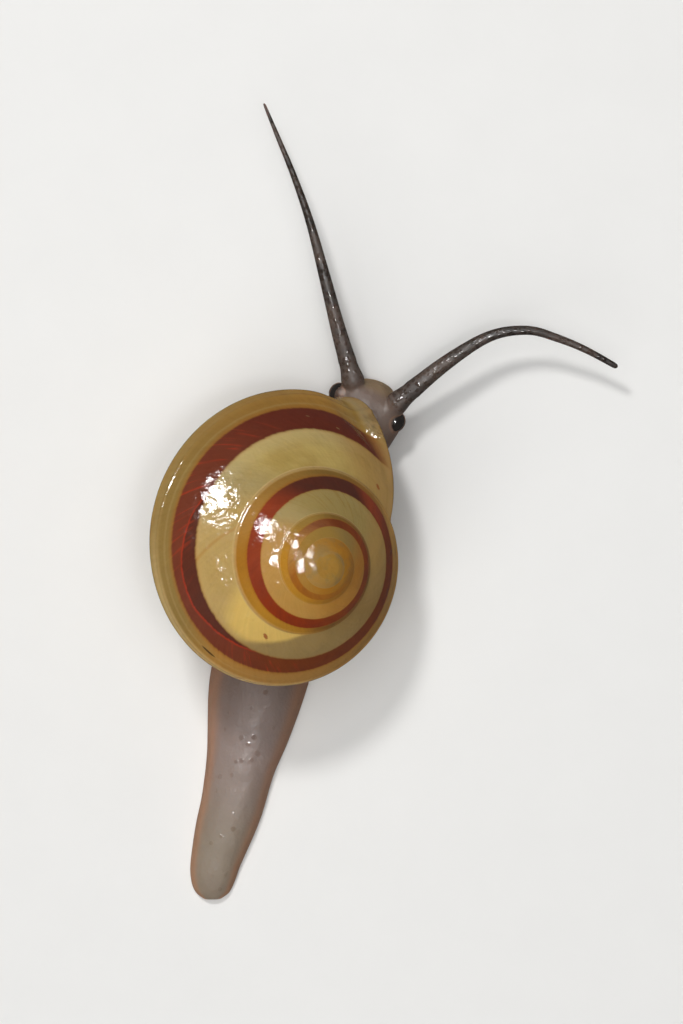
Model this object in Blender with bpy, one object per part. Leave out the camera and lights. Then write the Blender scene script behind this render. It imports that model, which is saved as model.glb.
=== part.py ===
"""A striped, operculate tree snail at life size: solid shell, operculum, eyes and the flesh in lengths.

Frame, in metres: +Z up, the sole on z = 0, the snail faces -Y, so its left side is +X.
The origin is on the sole under the shell.
"""

import math

import bmesh
import bpy
from mathutils import Matrix, Vector

MM = 0.001
UP = Vector((0, 0, 1))

# --- Shell: a cone of whorls that grows clockwise, seen from its apex ------------------------------
WHORL_GROWTH = 1.82  # how much the shell grows in one turn
SHELL_RADIUS = 9.62 * MM  # axis to keel, at the top of the lip
KEEL_DROP = 0.857  # depth of the keel below the apex, in radii
WHORL_BULGE = 0.06  # how far a whorl swells off its chord, in chords
WHORLS = 4.2  # turns from the first chamber to the lip
APEX_ROUND = 0.9 * MM  # blunts the tip of the spire
STEPS = 40  # growth steps in one turn
LIP_LAG = 4  # steps by which the lip's keel trails its top
LIP_SLANT = 1.4  # how soon the lip turns back below its top
UPPER_SPANS = 6  # faces from suture to keel
# The base of a whorl, from keel to axis: radius and depth below the keel, in radii, and lag in steps.
BASE_PROFILE = (
    (1.018, 0.055, 4.3),
    (0.955, 0.165, 4.8),
    (0.81, 0.275, 5.4),
    (0.61, 0.335, 6.0),
    (0.40, 0.335, 6.6),
    (0.20, 0.30, 7.3),
    (0.07, 0.265, 8.4),
)
LIP_WALL = 0.34 * MM
LIP_FLARE = 0.45 * MM
HOLLOW_DEPTH = 1.4 * MM  # how far the opening runs in
HOLLOW_TAPER = 0.55  # its floor's size, in openings
APEX = Vector((-2.395, 0.42, 12.2)) * MM
NARROWING = 0.05  # how much the last whorl draws in below the others
NARROW_DEPTHS = (4.8 * MM, 6.9 * MM)  # where that starts and ends, below the apex
LEAN = math.radians(25)  # the spire leans to the snail's right
LEAN_HEADING = math.radians(168.5)
LIP_AZIMUTH = math.radians(31.25)  # the lip's top, from the lean's heading

# --- Flesh ----------------------------------------------------------------------------------------
# The body from the tail's tip to the front of the head, in millimetres: middle x and y, half width
# of the sole, half width of the back, height, the height at which the back is flat, and how soon the
# sides turn over into the back (small is square, 1 is round).
STATIONS = (
    (3.92, 17.10, 0.40, 0.36, 0.46, 3.1, 1.0),
    (3.92, 16.72, 0.90, 0.84, 0.74, 3.1, 1.0),
    (3.90, 16.00, 1.17, 1.11, 1.00, 3.1, 1.0),
    (3.75, 15.10, 1.30, 1.25, 1.18, 3.1, 1.0),
    (3.32, 13.60, 1.51, 1.46, 1.38, 3.1, 1.0),
    (2.92, 12.30, 1.62, 1.57, 1.50, 3.1, 1.0),
    (2.52, 10.40, 1.77, 1.72, 1.68, 3.1, 1.0),
    (2.11, 8.60, 2.13, 2.06, 1.88, 3.1, 1.0),
    (1.70, 6.50, 2.46, 2.36, 2.20, 3.1, 1.0),
    (1.10, 4.00, 2.58, 2.44, 2.80, 2.55, 0.9),
    (0.55, 1.50, 2.58, 2.42, 2.90, 2.55, 0.9),
    (0.00, -1.00, 2.50, 2.32, 2.60, 2.08, 0.9),
    (-0.80, -3.50, 2.36, 2.18, 2.55, 2.05, 0.85),
    (-1.75, -5.20, 2.20, 2.06, 2.62, 2.05, 0.75),
    (-2.75, -6.10, 2.14, 2.24, 2.86, 3.1, 0.62),
    (-3.40, -6.80, 1.90, 2.02, 2.98, 3.1, 0.54),
    (-3.875, -7.675, 1.72, 2.08, 2.98, 3.1, 0.50),
    (-4.10, -8.12, 1.44, 1.76, 2.88, 3.1, 0.52),
    (-4.29, -8.50, 1.14, 1.28, 2.62, 3.1, 0.58),
    (-4.41, -8.76, 0.88, 0.88, 2.12, 3.1, 0.66),
    (-4.49, -8.97, 0.44, 0.42, 1.40, 3.1, 0.85),
)
RINGS = 41
BACK_SPANS = 12  # faces over the back in one ring
BACK_START = math.radians(8)  # where the back begins above the sole's edge
SOLE_SHARES = (-0.9, -0.3, 0.3, 0.9)  # where the lines of the sole run, in its half widths
SOLE_RIM = 0.26 * MM  # height of the sole's edge
FRONT_FOOT_TOP = 0.85 * MM  # where the front of the foot ends and the head begins
# Lengths of the body: name, the stations it runs between, and whether it is the front foot or above it.
LENGTHS = (
    ("tail_tip", 0, 4.6, None),
    ("tail", 4.6, 8.4, None),
    ("foot_middle", 8.4, 11.2, None),
    ("foot_front", 11.2, 13.5, None),
    ("foot_edge", 13.5, 20, "below"),
    ("neck", 13.5, 15.3, "above"),
    ("head", 15.3, 17.9, "above"),
    ("snout", 17.9, 20, "above"),
)
HEAD = Vector((-3.875, -7.675, 0.0)) * MM  # between the eyes
AHEAD = Vector((-0.45, -0.893, 0.0))
RIGHT = Vector((-0.893, 0.45, 0.0))
BULGE_PLACE = (1.49 * MM, -0.03 * MM, 1.83 * MM)  # to the side, ahead and up
BULGE_RADIUS = 0.63 * MM
EYE_PLACE = (1.60 * MM, -0.03 * MM, 2.03 * MM)
EYE_RADIUS = 0.44 * MM
FEELER_LEAST = 0.26 * MM  # least radius of a feeler
# Each feeler from inside the head to its tip, in millimetres.
FEELERS = {
    "left": (
        (-3.25, -8.60, 2.30),
        (-2.95, -9.70, 2.60),
        (-2.40, -11.60, 2.90),
        (-1.73, -14.20, 3.10),
        (-1.00, -16.90, 3.15),
        (-0.20, -19.20, 3.05),
        (0.62, -21.20, 2.85),
        (1.30, -22.85, 2.60),
    ),
    "right": (
        (-5.04, -7.60, 2.30),
        (-5.92, -8.36, 2.60),
        (-7.93, -9.96, 2.95),
        (-10.03, -11.22, 3.10),
        (-11.90, -11.50, 3.05),
        (-13.37, -11.12, 2.85),
        (-14.88, -10.50, 2.60),
        (-16.35, -9.70, 2.30),
    ),
}
FEELER_RADII = (0.62, 0.48, 0.38, 0.30, 0.26, 0.26, 0.26, 0.26)
FEELER_POINTS = 27
FEELER_LENGTHS = (("base", 0, 9), ("middle", 9, 18), ("tip", 18, 26))
STALK_MIDDLE = Vector((-1.05, -3.45, 0.0)) * MM
STALK_HALF = (1.35 * MM, 1.55 * MM)
STALK_FLOOR = 2.15 * MM  # just over the flat of the back
OPERCULUM_MIDDLE = Vector((0.75, 2.60, 2.65)) * MM
OPERCULUM_HALF = (1.55 * MM, 2.45 * MM)
OPERCULUM_THICKNESS = 0.30 * MM
OPERCULUM_TURN = math.radians(14)
OPERCULUM_BACK = 0.35  # how far its inner side swells, of its outer side
MANTLE_DEPTHS = (0.85, 0.5, 0.1)  # sections of the mantle, in depths of the hollow
STALK_SHARES = (0.0, 0.25, 0.6, 0.95)  # sections of the stalk, from the foot to the opening
SOCKET_POINTS = 5  # points of a feeler that stand in its socket
GAP = 0.10 * MM  # between pieces that meet
MERGE = 0.001 * MM  # vertices closer than this are one
SHARP_ANGLE = math.radians(40)  # edges turned more than this look sharp

MATERIALS = {
    "shell": ((0.62, 0.45, 0.20), 0.18),
    "operculum": ((0.42, 0.30, 0.18), 0.35),
    "flesh": ((0.44, 0.38, 0.37), 0.30),
    "feeler": ((0.22, 0.18, 0.18), 0.28),
    "eye": ((0.01, 0.01, 0.015), 0.08),
}


# --- Helpers --------------------------------------------------------------------------------------
def new_collection(name):
    made = bpy.data.collections.new(name)
    bpy.context.scene.collection.children.link(made)
    return made


def material(name):
    found = bpy.data.materials.get(name)
    if found:
        return found
    colour, roughness = MATERIALS[name]
    made = bpy.data.materials.new(name)
    made.use_nodes = True
    shader = made.node_tree.nodes["Principled BSDF"]
    shader.inputs["Base Color"].default_value = (*colour, 1.0)
    shader.inputs["Roughness"].default_value = roughness
    shader.inputs["Metallic"].default_value = 0.0
    return made


def add_object(name, bm, collection, finish):
    """Makes an object of the mesh, with its faces outwards and shaded smooth."""
    bmesh.ops.recalc_face_normals(bm, faces=bm.faces)
    mesh = bpy.data.meshes.new(name)
    bm.to_mesh(mesh)
    bm.free()
    made = bpy.data.objects.new(name, mesh)
    collection.objects.link(made)
    mesh.materials.append(material(finish))
    mesh.shade_smooth()
    mesh.set_sharp_from_angle(angle=SHARP_ANGLE)
    return made


def carve(body, cutter):
    """Takes the cutter's shape out of the body."""
    cutter.hide_render = True
    cutter.display_type = "WIRE"
    cut = body.modifiers.new("clear of " + cutter.name, "BOOLEAN")
    cut.operation = "DIFFERENCE"
    cut.solver = "EXACT"
    cut.object = cutter


def along(rows, at):
    """The row at a fractional index of a smooth curve through the rows."""
    k = min(int(at), len(rows) - 2)
    t = at - k
    before, after = rows[max(k - 1, 0)], rows[min(k + 2, len(rows) - 1)]
    found = []
    for p0, p1, p2, p3 in zip(before, rows[k], rows[k + 1], after):
        slope, bend = p2 - p0, 2 * p0 - 5 * p1 + 4 * p2 - p3
        found.append(p1 + 0.5 * (slope * t + bend * t**2 + (3 * p1 - p0 - 3 * p2 + p3) * t**3))
    return found


def edge_between(a, b):
    return next(e for e in a.link_edges if e.other_vert(a) is b)


def edges_of(line, closed):
    ends = line[1:] + line[:1] if closed else line[1:]
    return [edge_between(a, b) for a, b in zip(line, ends)]


def extruded(bm, line, closed=True):
    """Extrudes a line of vertices and returns the new ones in the same order."""
    made = bmesh.ops.extrude_edge_only(bm, edges=edges_of(line, closed))["geom"]
    new = {v for v in made if isinstance(v, bmesh.types.BMVert)}
    return [next(e.other_vert(v) for e in v.link_edges if e.other_vert(v) in new) for v in line]


def first_line(bm, points, closed=True):
    line = [bm.verts.new(p) for p in points]
    for a, b in zip(line, line[1:] + line[:1] if closed else line[1:]):
        bm.edges.new((a, b))
    return line


def loft(sections):
    """A closed skin through sections that have the same number of points."""
    bm = bmesh.new()
    ring = first_line(bm, sections[0])
    ends = [bm.faces.new(ring)]
    for section in sections[1:]:
        ring = extruded(bm, ring)
        for vert, place in zip(ring, section):
            vert.co = place
    ends.append(bm.faces.new(ring))
    bmesh.ops.poke(bm, faces=ends)
    bmesh.ops.recalc_face_normals(bm, faces=bm.faces)
    return bm


def keep_side(bm, point, direction):
    """Cuts the closed mesh off behind the plane and closes the cut."""
    every = bm.verts[:] + bm.edges[:] + bm.faces[:]
    cut = bmesh.ops.bisect_plane(
        bm, geom=every, dist=1e-7, plane_co=point, plane_no=direction, clear_inner=True
    )["geom_cut"]
    bmesh.ops.holes_fill(bm, edges=[e for e in cut if isinstance(e, bmesh.types.BMEdge)])


# --- Shell ----------------------------------------------------------------------------------------
def growth(steps):
    """The similarity that carries the shell's surface on by this many growth steps."""
    turn = math.tau * steps / STEPS
    return Matrix.Rotation(-turn, 4, "Z") @ Matrix.Scale(WHORL_GROWTH ** (steps / STEPS), 4)


def lip_point(radius, depth, lag):
    """A point of the lip, in the shell's own frame: apex at the origin, axis along Z."""
    return growth(-lag) @ Vector((radius * math.cos(LIP_AZIMUTH), radius * math.sin(LIP_AZIMUTH), -depth))


def upper_lip():
    """The lip from the suture to the keel."""
    keel = Vector((SHELL_RADIUS, KEEL_DROP * SHELL_RADIUS))
    suture = keel / WHORL_GROWTH
    chord = keel - suture
    outwards = Vector((chord.y, -chord.x))
    points = []
    for i in range(UPPER_SPANS + 1):
        t = i / UPPER_SPANS
        radius, depth = suture + chord * t + outwards * WHORL_BULGE * 4 * t * (1 - t)
        points.append(lip_point(radius, depth, LIP_LAG * (1 - (1 - t) ** LIP_SLANT)))
    return points


def base_lip():
    """The lip from the keel to the axis."""
    points = [lip_point(SHELL_RADIUS, KEEL_DROP * SHELL_RADIUS, LIP_LAG)]
    for radius, depth, lag in BASE_PROFILE:
        points.append(lip_point(radius * SHELL_RADIUS, (KEEL_DROP + depth) * SHELL_RADIUS, lag))
    return points


def opening():
    """The rim of the opening: the lip, then back over the whorl before it."""
    base = base_lip()
    wall = [growth(LIP_LAG - STEPS) @ p for p in base]
    return upper_lip() + base[1:] + wall[:0:-1]


def drawn_in(loop, distance):
    """The loop shrunk towards its middle by about this distance."""
    middle = sum(loop, Vector()) / len(loop)
    return [p - (p - middle).normalized() * distance for p in loop]


def grown(bm, lip, steps):
    """A sheet grown up to the lip over this many steps, as its lines of vertices."""
    line = first_line(bm, [growth(-steps) @ p for p in lip], closed=False)
    lines = [line]
    for _ in range(steps):
        line = extruded(bm, line, closed=False)
        bmesh.ops.transform(bm, matrix=growth(1), verts=line)
        lines.append(line)
    return lines


def in_place(point):
    """Draws in the last whorl, rounds the tip of the spire and sets the shell down on the animal."""
    start, end = NARROW_DEPTHS
    share = min(max((-point.z - start) / (end - start), 0.0), 1.0)
    width = 1 - NARROWING * share * share * (3 - 2 * share)
    rounded = Vector((point.x * width, point.y * width, -math.hypot(point.z, APEX_ROUND)))
    turned = Matrix.Rotation(LEAN_HEADING, 4, "Z") @ Matrix.Rotation(LEAN, 4, "Y") @ rounded
    return APEX + turned


def build_shell(collection):
    bm = bmesh.new()
    upper = grown(bm, upper_lip(), round(WHORLS * STEPS))
    base = grown(bm, base_lip(), STEPS - LIP_LAG)
    bm.faces.new([line[0] for line in upper[STEPS - LIP_LAG :: -1]] + upper[0][1:-1])
    bm.faces.new([line[-1] for line in base])
    bmesh.ops.remove_doubles(bm, verts=bm.verts, dist=MERGE)
    rim = [min(bm.verts, key=lambda v: (v.co - p).length) for p in opening()]
    close_opening(bm, rim)
    middle = sum((v.co for v in rim), Vector()) / len(rim)
    for vert in rim[2 : UPPER_SPANS + len(BASE_PROFILE) - 1]:
        vert.co += (vert.co - middle).normalized() * LIP_FLARE
    for vert in bm.verts:
        vert.co = in_place(vert.co)
    bmesh.ops.triangulate(bm, faces=[f for f in bm.faces if len(f.verts) > 4])
    add_object("shell", bm, collection, "shell")


def close_opening(bm, rim):
    """Turns the lip in by its wall and closes the opening with a hollow for the mantle."""
    line = rim
    for places in hollow(LIP_WALL, (0.0, 0.5, 1.0)):
        line = extruded(bm, line)
        for vert, place in zip(line, places):
            vert.co = place
    bmesh.ops.poke(bm, faces=[bm.faces.new(line)])


def hollow(inset, depths):
    """Sections of the hollow behind the opening, at shares of its depth, in the shell's own frame."""
    rim = drawn_in(opening(), inset)
    middle = sum(rim, Vector()) / len(rim)
    suture, keel, axis = rim[0], rim[UPPER_SPANS], rim[UPPER_SPANS + len(BASE_PROFILE)]
    inward = (keel - suture).cross(axis - suture).normalized()
    floor = [middle + inward * HOLLOW_DEPTH + (p - middle) * HOLLOW_TAPER for p in rim]
    return [[p.lerp(q, depth) for p, q in zip(rim, floor)] for depth in depths]


# --- Flesh ----------------------------------------------------------------------------------------
def body_section(at):
    """A section of the body at a fractional station: flat sole, rounded rim and arched back."""
    *row, square = along(STATIONS, at)
    x, y, sole, back, height, flat = (MM * value for value in row)
    side = heading(at).cross(UP)
    outline = [(share * sole, 0.0) for share in SOLE_SHARES]
    outline.append((sole, SOLE_RIM / 2))
    for i in range(BACK_SPANS + 1):
        turn = BACK_START + (math.pi - 2 * BACK_START) * i / BACK_SPANS
        rise = SOLE_RIM + (height - SOLE_RIM) * math.sin(turn) ** square
        outline.append((back * math.cos(turn), min(rise, flat)))
    outline.append((-sole, SOLE_RIM / 2))
    return [Vector((x, y, 0)) + side * s + UP * z for s, z in outline]


def middle_line(at):
    x, y = along(STATIONS, at)[:2]
    return Vector((x, y, 0)) * MM


def heading(at):
    """The way the body runs at a station, towards the head."""
    last = len(STATIONS) - 1
    return (middle_line(min(at + 0.3, last)) - middle_line(max(at - 0.3, 0))).normalized()


def build_length(name, start, end, storey, collection):
    last = len(STATIONS) - 1
    bm = loft([body_section(last * i / (RINGS - 1)) for i in range(RINGS)])
    if start > 0:
        keep_side(bm, middle_line(start) + heading(start) * GAP / 2, heading(start))
    if end < last:
        keep_side(bm, middle_line(end) - heading(end) * GAP / 2, -heading(end))
    if storey == "below":
        keep_side(bm, UP * (FRONT_FOOT_TOP - GAP / 2), -UP)
    elif storey == "above":
        keep_side(bm, UP * (FRONT_FOOT_TOP + GAP / 2), UP)
    bmesh.ops.triangulate(bm, faces=[f for f in bm.faces if len(f.verts) > 4])
    return add_object(name, bm, collection, "flesh")


def on_head(place, side):
    """A place given to the side, ahead and up, on the snail's right (1) or left (-1)."""
    return HEAD + RIGHT * side * place[0] + AHEAD * place[1] + UP * place[2]


def build_ball(name, middle, radius, collection, finish):
    bm = bmesh.new()
    bmesh.ops.create_icosphere(bm, subdivisions=3, radius=radius)
    bmesh.ops.translate(bm, vec=middle, verts=bm.verts)
    return add_object(name, bm, collection, finish)


def build_tube(name, points, radii, collection, finish):
    """A round tube through the points, made a closed mesh."""
    curve = bpy.data.curves.new(name + " path", "CURVE")
    curve.dimensions = "3D"
    curve.bevel_depth = 1.0
    curve.bevel_resolution = 2
    curve.use_fill_caps = True
    spline = curve.splines.new("POLY")
    spline.points.add(len(points) - 1)
    for point, place, radius in zip(spline.points, points, radii):
        point.co = (*place, 1.0)
        point.radius = radius
    guide = bpy.data.objects.new(name + " path", curve)
    collection.objects.link(guide)
    depsgraph = bpy.context.evaluated_depsgraph_get()
    mesh = bpy.data.meshes.new_from_object(guide.evaluated_get(depsgraph))
    bm = bmesh.new()
    bm.from_mesh(mesh)
    bpy.data.meshes.remove(mesh)
    bpy.data.objects.remove(guide)
    bmesh.ops.remove_doubles(bm, verts=bm.verts, dist=MERGE)
    return add_object(name, bm, collection, finish)


def feeler_run(side):
    """The points and radii of a feeler, evenly spaced from root to tip."""
    last = FEELER_POINTS - 1
    ends = len(FEELER_RADII) - 1
    rows = [(*point, radius) for point, radius in zip(FEELERS[side], FEELER_RADII)]
    run = [along(rows, ends * i / last) for i in range(FEELER_POINTS)]
    points = [Vector(row[:3]) * MM for row in run]
    return points, [max(row[3] * MM, FEELER_LEAST) for row in run]


def build_feeler(side, head, collection, cutters):
    points, radii = feeler_run(side)
    for name, first, last in FEELER_LENGTHS:
        places = points[first : last + 1]
        if first:
            places[0] = places[0] + (places[1] - places[0]).normalized() * GAP
        build_tube("feeler_%s_%s" % (side, name), places, radii[first : last + 1], collection, "feeler")
    root = [points[0] - (points[1] - points[0]).normalized() * GAP] + points[1:SOCKET_POINTS]
    widths = [radius + GAP for radius in radii[:SOCKET_POINTS]]
    socket = build_tube("socket for feeler " + side, root, widths, cutters, "flesh")
    for body in head:
        carve(body, socket)


def build_eye(name, side, head, collection, cutters):
    """An eye in the pale bulge outside the foot of its feeler; returns the bulge."""
    middle, eye_middle = on_head(BULGE_PLACE, side), on_head(EYE_PLACE, side)
    bulge = build_ball("eye_bulge_" + name, middle, BULGE_RADIUS, collection, "flesh")
    build_ball("eye_" + name, eye_middle, EYE_RADIUS, collection, "eye")
    carve(bulge, build_ball("socket for eye " + name, eye_middle, EYE_RADIUS + GAP, cutters, "flesh"))
    around = build_ball("socket for bulge " + name, middle, BULGE_RADIUS + GAP, cutters, "flesh")
    around_eye = bpy.data.objects["socket for eye " + name]
    for body in head:
        carve(body, around)
        carve(body, around_eye)
    return bulge


def build_mantle(collection):
    """The flesh that fills the shell's opening."""
    sections = hollow(LIP_WALL + 2 * GAP, MANTLE_DEPTHS)
    add_object("mantle", loft([[in_place(p) for p in section] for section in sections]), collection, "flesh")


def build_stalk(collection):
    """The flesh that joins the foot to what is in the shell."""
    top = [in_place(p) for p in hollow(LIP_WALL + 5 * GAP, (0.0,))[0]]
    count = len(top)
    middle = sum(top, Vector()) / count
    sections = []
    for share in STALK_SHARES:
        section = []
        for place in top:
            away = place - middle
            turn = math.atan2(away.y, away.x)
            foot = STALK_MIDDLE + UP * STALK_FLOOR
            foot += Vector((STALK_HALF[0] * math.cos(turn), STALK_HALF[1] * math.sin(turn), 0))
            section.append(foot.lerp(place, share))
        sections.append(section)
    return add_object("stalk", loft(sections), collection, "flesh")


def build_operculum(collection):
    """The plate that shuts the shell, carried flat on the back of the foot: a half oval."""
    bm = bmesh.new()
    bmesh.ops.create_circle(bm, cap_ends=True, segments=28, radius=1.0)
    for vert in bm.verts:
        if vert.co.x < 0:
            vert.co.x *= OPERCULUM_BACK
    bmesh.ops.scale(bm, vec=(*OPERCULUM_HALF, 1.0), verts=bm.verts)
    plate = bmesh.ops.extrude_face_region(bm, geom=bm.faces[:])["geom"]
    top = [v for v in plate if isinstance(v, bmesh.types.BMVert)]
    bmesh.ops.translate(bm, vec=UP * OPERCULUM_THICKNESS, verts=top)
    place = Matrix.Translation(OPERCULUM_MIDDLE) @ Matrix.Rotation(OPERCULUM_TURN, 4, "Z")
    bmesh.ops.transform(bm, matrix=place, verts=bm.verts)
    add_object("operculum", bm, collection, "operculum")


def main():
    for old in list(bpy.data.objects):
        bpy.data.objects.remove(old)
    snail = new_collection("Striped snail")
    cutters = new_collection("Cutters")
    build_shell(snail)
    build_mantle(snail)
    build_stalk(snail)
    build_operculum(snail)
    lengths = {row[0]: build_length(*row, snail) for row in LENGTHS}
    head = [lengths[name] for name in ("head", "snout", "neck")]
    for name, side in (("left", -1), ("right", 1)):
        bulge = build_eye(name, side, head, snail, cutters)
        build_feeler(name, head + [bulge], snail, cutters)


main()
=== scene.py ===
"""The looks of a life-size striped snail: shell, flesh, eyes and operculum on a pale studio floor.

Frame, in metres: +Z up, the sole on z = 0, the snail faces -Y, so its left side is +X.
"""

import math
from types import SimpleNamespace

import bmesh
import bpy
from mathutils import Matrix, Vector, noise


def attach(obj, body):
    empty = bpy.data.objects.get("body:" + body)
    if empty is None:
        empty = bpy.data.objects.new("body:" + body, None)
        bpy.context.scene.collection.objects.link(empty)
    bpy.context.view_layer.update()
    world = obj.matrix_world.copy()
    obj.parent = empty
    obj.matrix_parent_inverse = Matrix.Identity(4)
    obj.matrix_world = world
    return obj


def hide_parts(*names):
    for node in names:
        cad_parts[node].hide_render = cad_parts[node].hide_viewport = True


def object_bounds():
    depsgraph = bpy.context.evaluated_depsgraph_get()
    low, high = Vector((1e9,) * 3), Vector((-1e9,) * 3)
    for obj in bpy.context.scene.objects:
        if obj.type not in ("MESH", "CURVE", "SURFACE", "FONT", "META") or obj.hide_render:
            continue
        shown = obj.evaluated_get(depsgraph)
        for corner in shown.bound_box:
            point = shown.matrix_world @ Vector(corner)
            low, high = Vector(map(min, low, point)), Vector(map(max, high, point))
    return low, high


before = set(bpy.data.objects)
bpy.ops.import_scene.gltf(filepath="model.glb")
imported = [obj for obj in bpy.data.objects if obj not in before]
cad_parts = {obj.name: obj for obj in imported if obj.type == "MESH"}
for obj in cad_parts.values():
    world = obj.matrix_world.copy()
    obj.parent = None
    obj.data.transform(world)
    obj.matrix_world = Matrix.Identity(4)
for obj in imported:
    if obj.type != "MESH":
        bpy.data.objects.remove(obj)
cad_low, cad_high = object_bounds()

MM = 0.001
UP = Vector((0, 0, 1))

# --- Shell ----------------------------------------------------------------------------------------
WHORL_GROWTH = 1.82  # how much the shell grows in one turn
SHELL_RADIUS = 9.62 * MM  # axis to keel, at the top of the lip
KEEL_DROP = 0.857  # depth of the keel below the apex, in radii
WHORL_BULGE = 0.06  # how far a whorl swells off its chord, in chords
WHORLS = 4.2  # turns from the first chamber to the lip
APEX_ROUND = 0.9 * MM
STEPS = 120  # growth steps in one turn
MERGE = 0.002 * MM  # points of the shell closer than this are one
LIP_LAG = 12  # steps by which the lip's keel trails its top
LIP_SLANT = 1.4  # how unevenly that lag builds up on the way
KEEL_BEAD = 0.009  # height of the thread along the keel, in radii
KEEL_BEAD_PLACE = (0.965, 0.02)  # its middle and half width, in shares of the way across the whorl
KEEL_BEAD_END = 40  # how sharply it ends at the keel
# The lines of the whorl's upper side, in shares from suture to keel, closer together on the thread.
UPPER_SHARES = [0.9 * i / 16 for i in range(17)] + [0.92, 0.94, 0.955, 0.97, 0.985, 1.0]
# The base of a whorl, from keel to axis: radius and depth below the keel, in radii, and lag in turns.
BASE_PROFILE = (
    (1.0, 0.0, 0.1),
    (1.018, 0.055, 0.1075),
    (0.955, 0.165, 0.12),
    (0.81, 0.275, 0.135),
    (0.61, 0.335, 0.15),
    (0.40, 0.335, 0.165),
    (0.20, 0.30, 0.1825),
    (0.07, 0.265, 0.21),
)
BASE_SPANS = 18
BASE_SHARES = [1 + i / BASE_SPANS for i in range(BASE_SPANS + 1)]  # 1 at the keel, 2 at the axis
LIP_WALL = 0.34 * MM
LIP_FLARE = 0.62 * MM  # how far the lip turns out
FLARE_RUN = 0.009  # over how much of a turn
FLARE_STEPS = 9  # growth steps that the lip's shaping reaches back
LIP_PINCH = 0.24 * MM  # how much the whorl is drawn in behind the lip
PINCH_RUN = (0.024, 0.016)  # its middle and half width, in turns
PINCH_PLACE = (0.88, 0.34)  # the same across the whorl
LIP_LOBE = 0.6 * MM  # how far the lip's lobe runs forward
LOBE_PLACE = (0.84, 0.24)  # its middle and half width across the whorl
LOBE_RUN = 0.03  # in turns
HOLLOW_DEPTH = 1.4 * MM
HOLLOW_TAPER = 0.55  # how wide its floor is, in widths of the opening
HOLLOW_SHARES = (0.0, 0.25, 0.5, 0.75, 1.0)  # its rings, in shares of its depth
INSIDE = (-0.2, 0.5)  # where the inner wall lies on the shell's map
APEX = Vector((-2.395, 0.42, 12.2)) * MM
NARROWING = 0.05  # how much the last whorl draws in below the others
NARROW_DEPTHS = (4.8 * MM, 6.9 * MM)  # where that starts and ends, below the apex
LEAN = math.radians(25)  # of the shell's axis off upright
LEAN_HEADING = math.radians(168.5)
LIP_AZIMUTH = math.radians(31.25)  # of the top of the lip, round the axis

# --- Flesh ----------------------------------------------------------------------------------------
# The body from the tail's tip to the front of the head, in millimetres: middle x and y, half width
# of the sole, half width of the back, height, the height at which the back is flat, and how soon the
# sides turn over into the back (small is square, 1 is round).
STATIONS = (
    (3.92, 17.10, 0.40, 0.36, 0.46, 3.1, 1.0),
    (3.92, 16.72, 0.90, 0.84, 0.74, 3.1, 1.0),
    (3.90, 16.00, 1.17, 1.11, 1.00, 3.1, 1.0),
    (3.75, 15.10, 1.30, 1.25, 1.18, 3.1, 1.0),
    (3.32, 13.60, 1.51, 1.46, 1.38, 3.1, 1.0),
    (2.92, 12.30, 1.62, 1.57, 1.50, 3.1, 1.0),
    (2.52, 10.40, 1.77, 1.72, 1.68, 3.1, 1.0),
    (2.11, 8.60, 2.13, 2.06, 1.88, 3.1, 1.0),
    (1.70, 6.50, 2.46, 2.36, 2.20, 3.1, 1.0),
    (1.10, 4.00, 2.58, 2.44, 2.80, 2.55, 0.9),
    (0.55, 1.50, 2.58, 2.42, 2.90, 2.55, 0.9),
    (0.00, -1.00, 2.50, 2.32, 2.60, 2.08, 0.9),
    (-0.80, -3.50, 2.36, 2.18, 2.55, 2.05, 0.85),
    (-1.75, -5.20, 2.20, 2.06, 2.62, 2.05, 0.75),
    (-2.75, -6.10, 2.14, 2.24, 2.86, 3.1, 0.62),
    (-3.40, -6.80, 1.90, 2.02, 2.98, 3.1, 0.54),
    (-3.875, -7.675, 1.72, 2.08, 2.98, 3.1, 0.50),
    (-4.10, -8.12, 1.44, 1.76, 2.88, 3.1, 0.52),
    (-4.29, -8.50, 1.14, 1.28, 2.62, 3.1, 0.58),
    (-4.41, -8.76, 0.88, 0.88, 2.12, 3.1, 0.66),
    (-4.49, -8.97, 0.44, 0.42, 1.40, 3.1, 0.85),
)
LAST = len(STATIONS) - 1
RINGS = 61
SNOUT_CUT = 0.35  # how far short of the last station the rings stop, in stations
SNOUT_ROUND = 0.07 * MM
SNOUT_SHARES = (0.8, 0.6, 0.4, 0.2)  # the rings that close it, in shares of the last one
MOUTH_PLACE = (-0.03 * MM, 1.14 * MM)  # to the side and up
MOUTH_HALF = (0.34 * MM, 0.10 * MM)
MOUTH_DEPTH = 0.14 * MM
SOLE_SHARES = (-0.84, -0.5, -0.17, 0.17, 0.5, 0.84)
BACK_SPANS = 14
SOLE_RIM = 0.26 * MM
SKIN_INSET = 0.03 * MM  # how far the skin lies inside the solids
LEAST_WIDTH = 0.12 * MM
LEAST_HEIGHT = 0.4 * MM
THIN_EDGE = (10, 14)  # the stations between which the foot's edge stops being thin and warm
CREASE_HEIGHT = 0.85 * MM  # where the head meets the foot
CREASE_FOLD = 0.13 * MM  # how deep, and how far up and down, the skin folds in there
WRINKLE_DEPTH = 0.018 * MM
LUMP_HEIGHTS = (0.020 * MM, 0.010 * MM)  # broad lumps of the skin and fine ones
FEELER_RIPPLE = 0.006 * MM
HEAD = Vector((-3.875, -7.675, 0.0)) * MM
AHEAD = Vector((-0.45, -0.893, 0.0))  # the way the head faces
RIGHT = Vector((-0.893, 0.45, 0.0))  # the head's right
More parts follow.
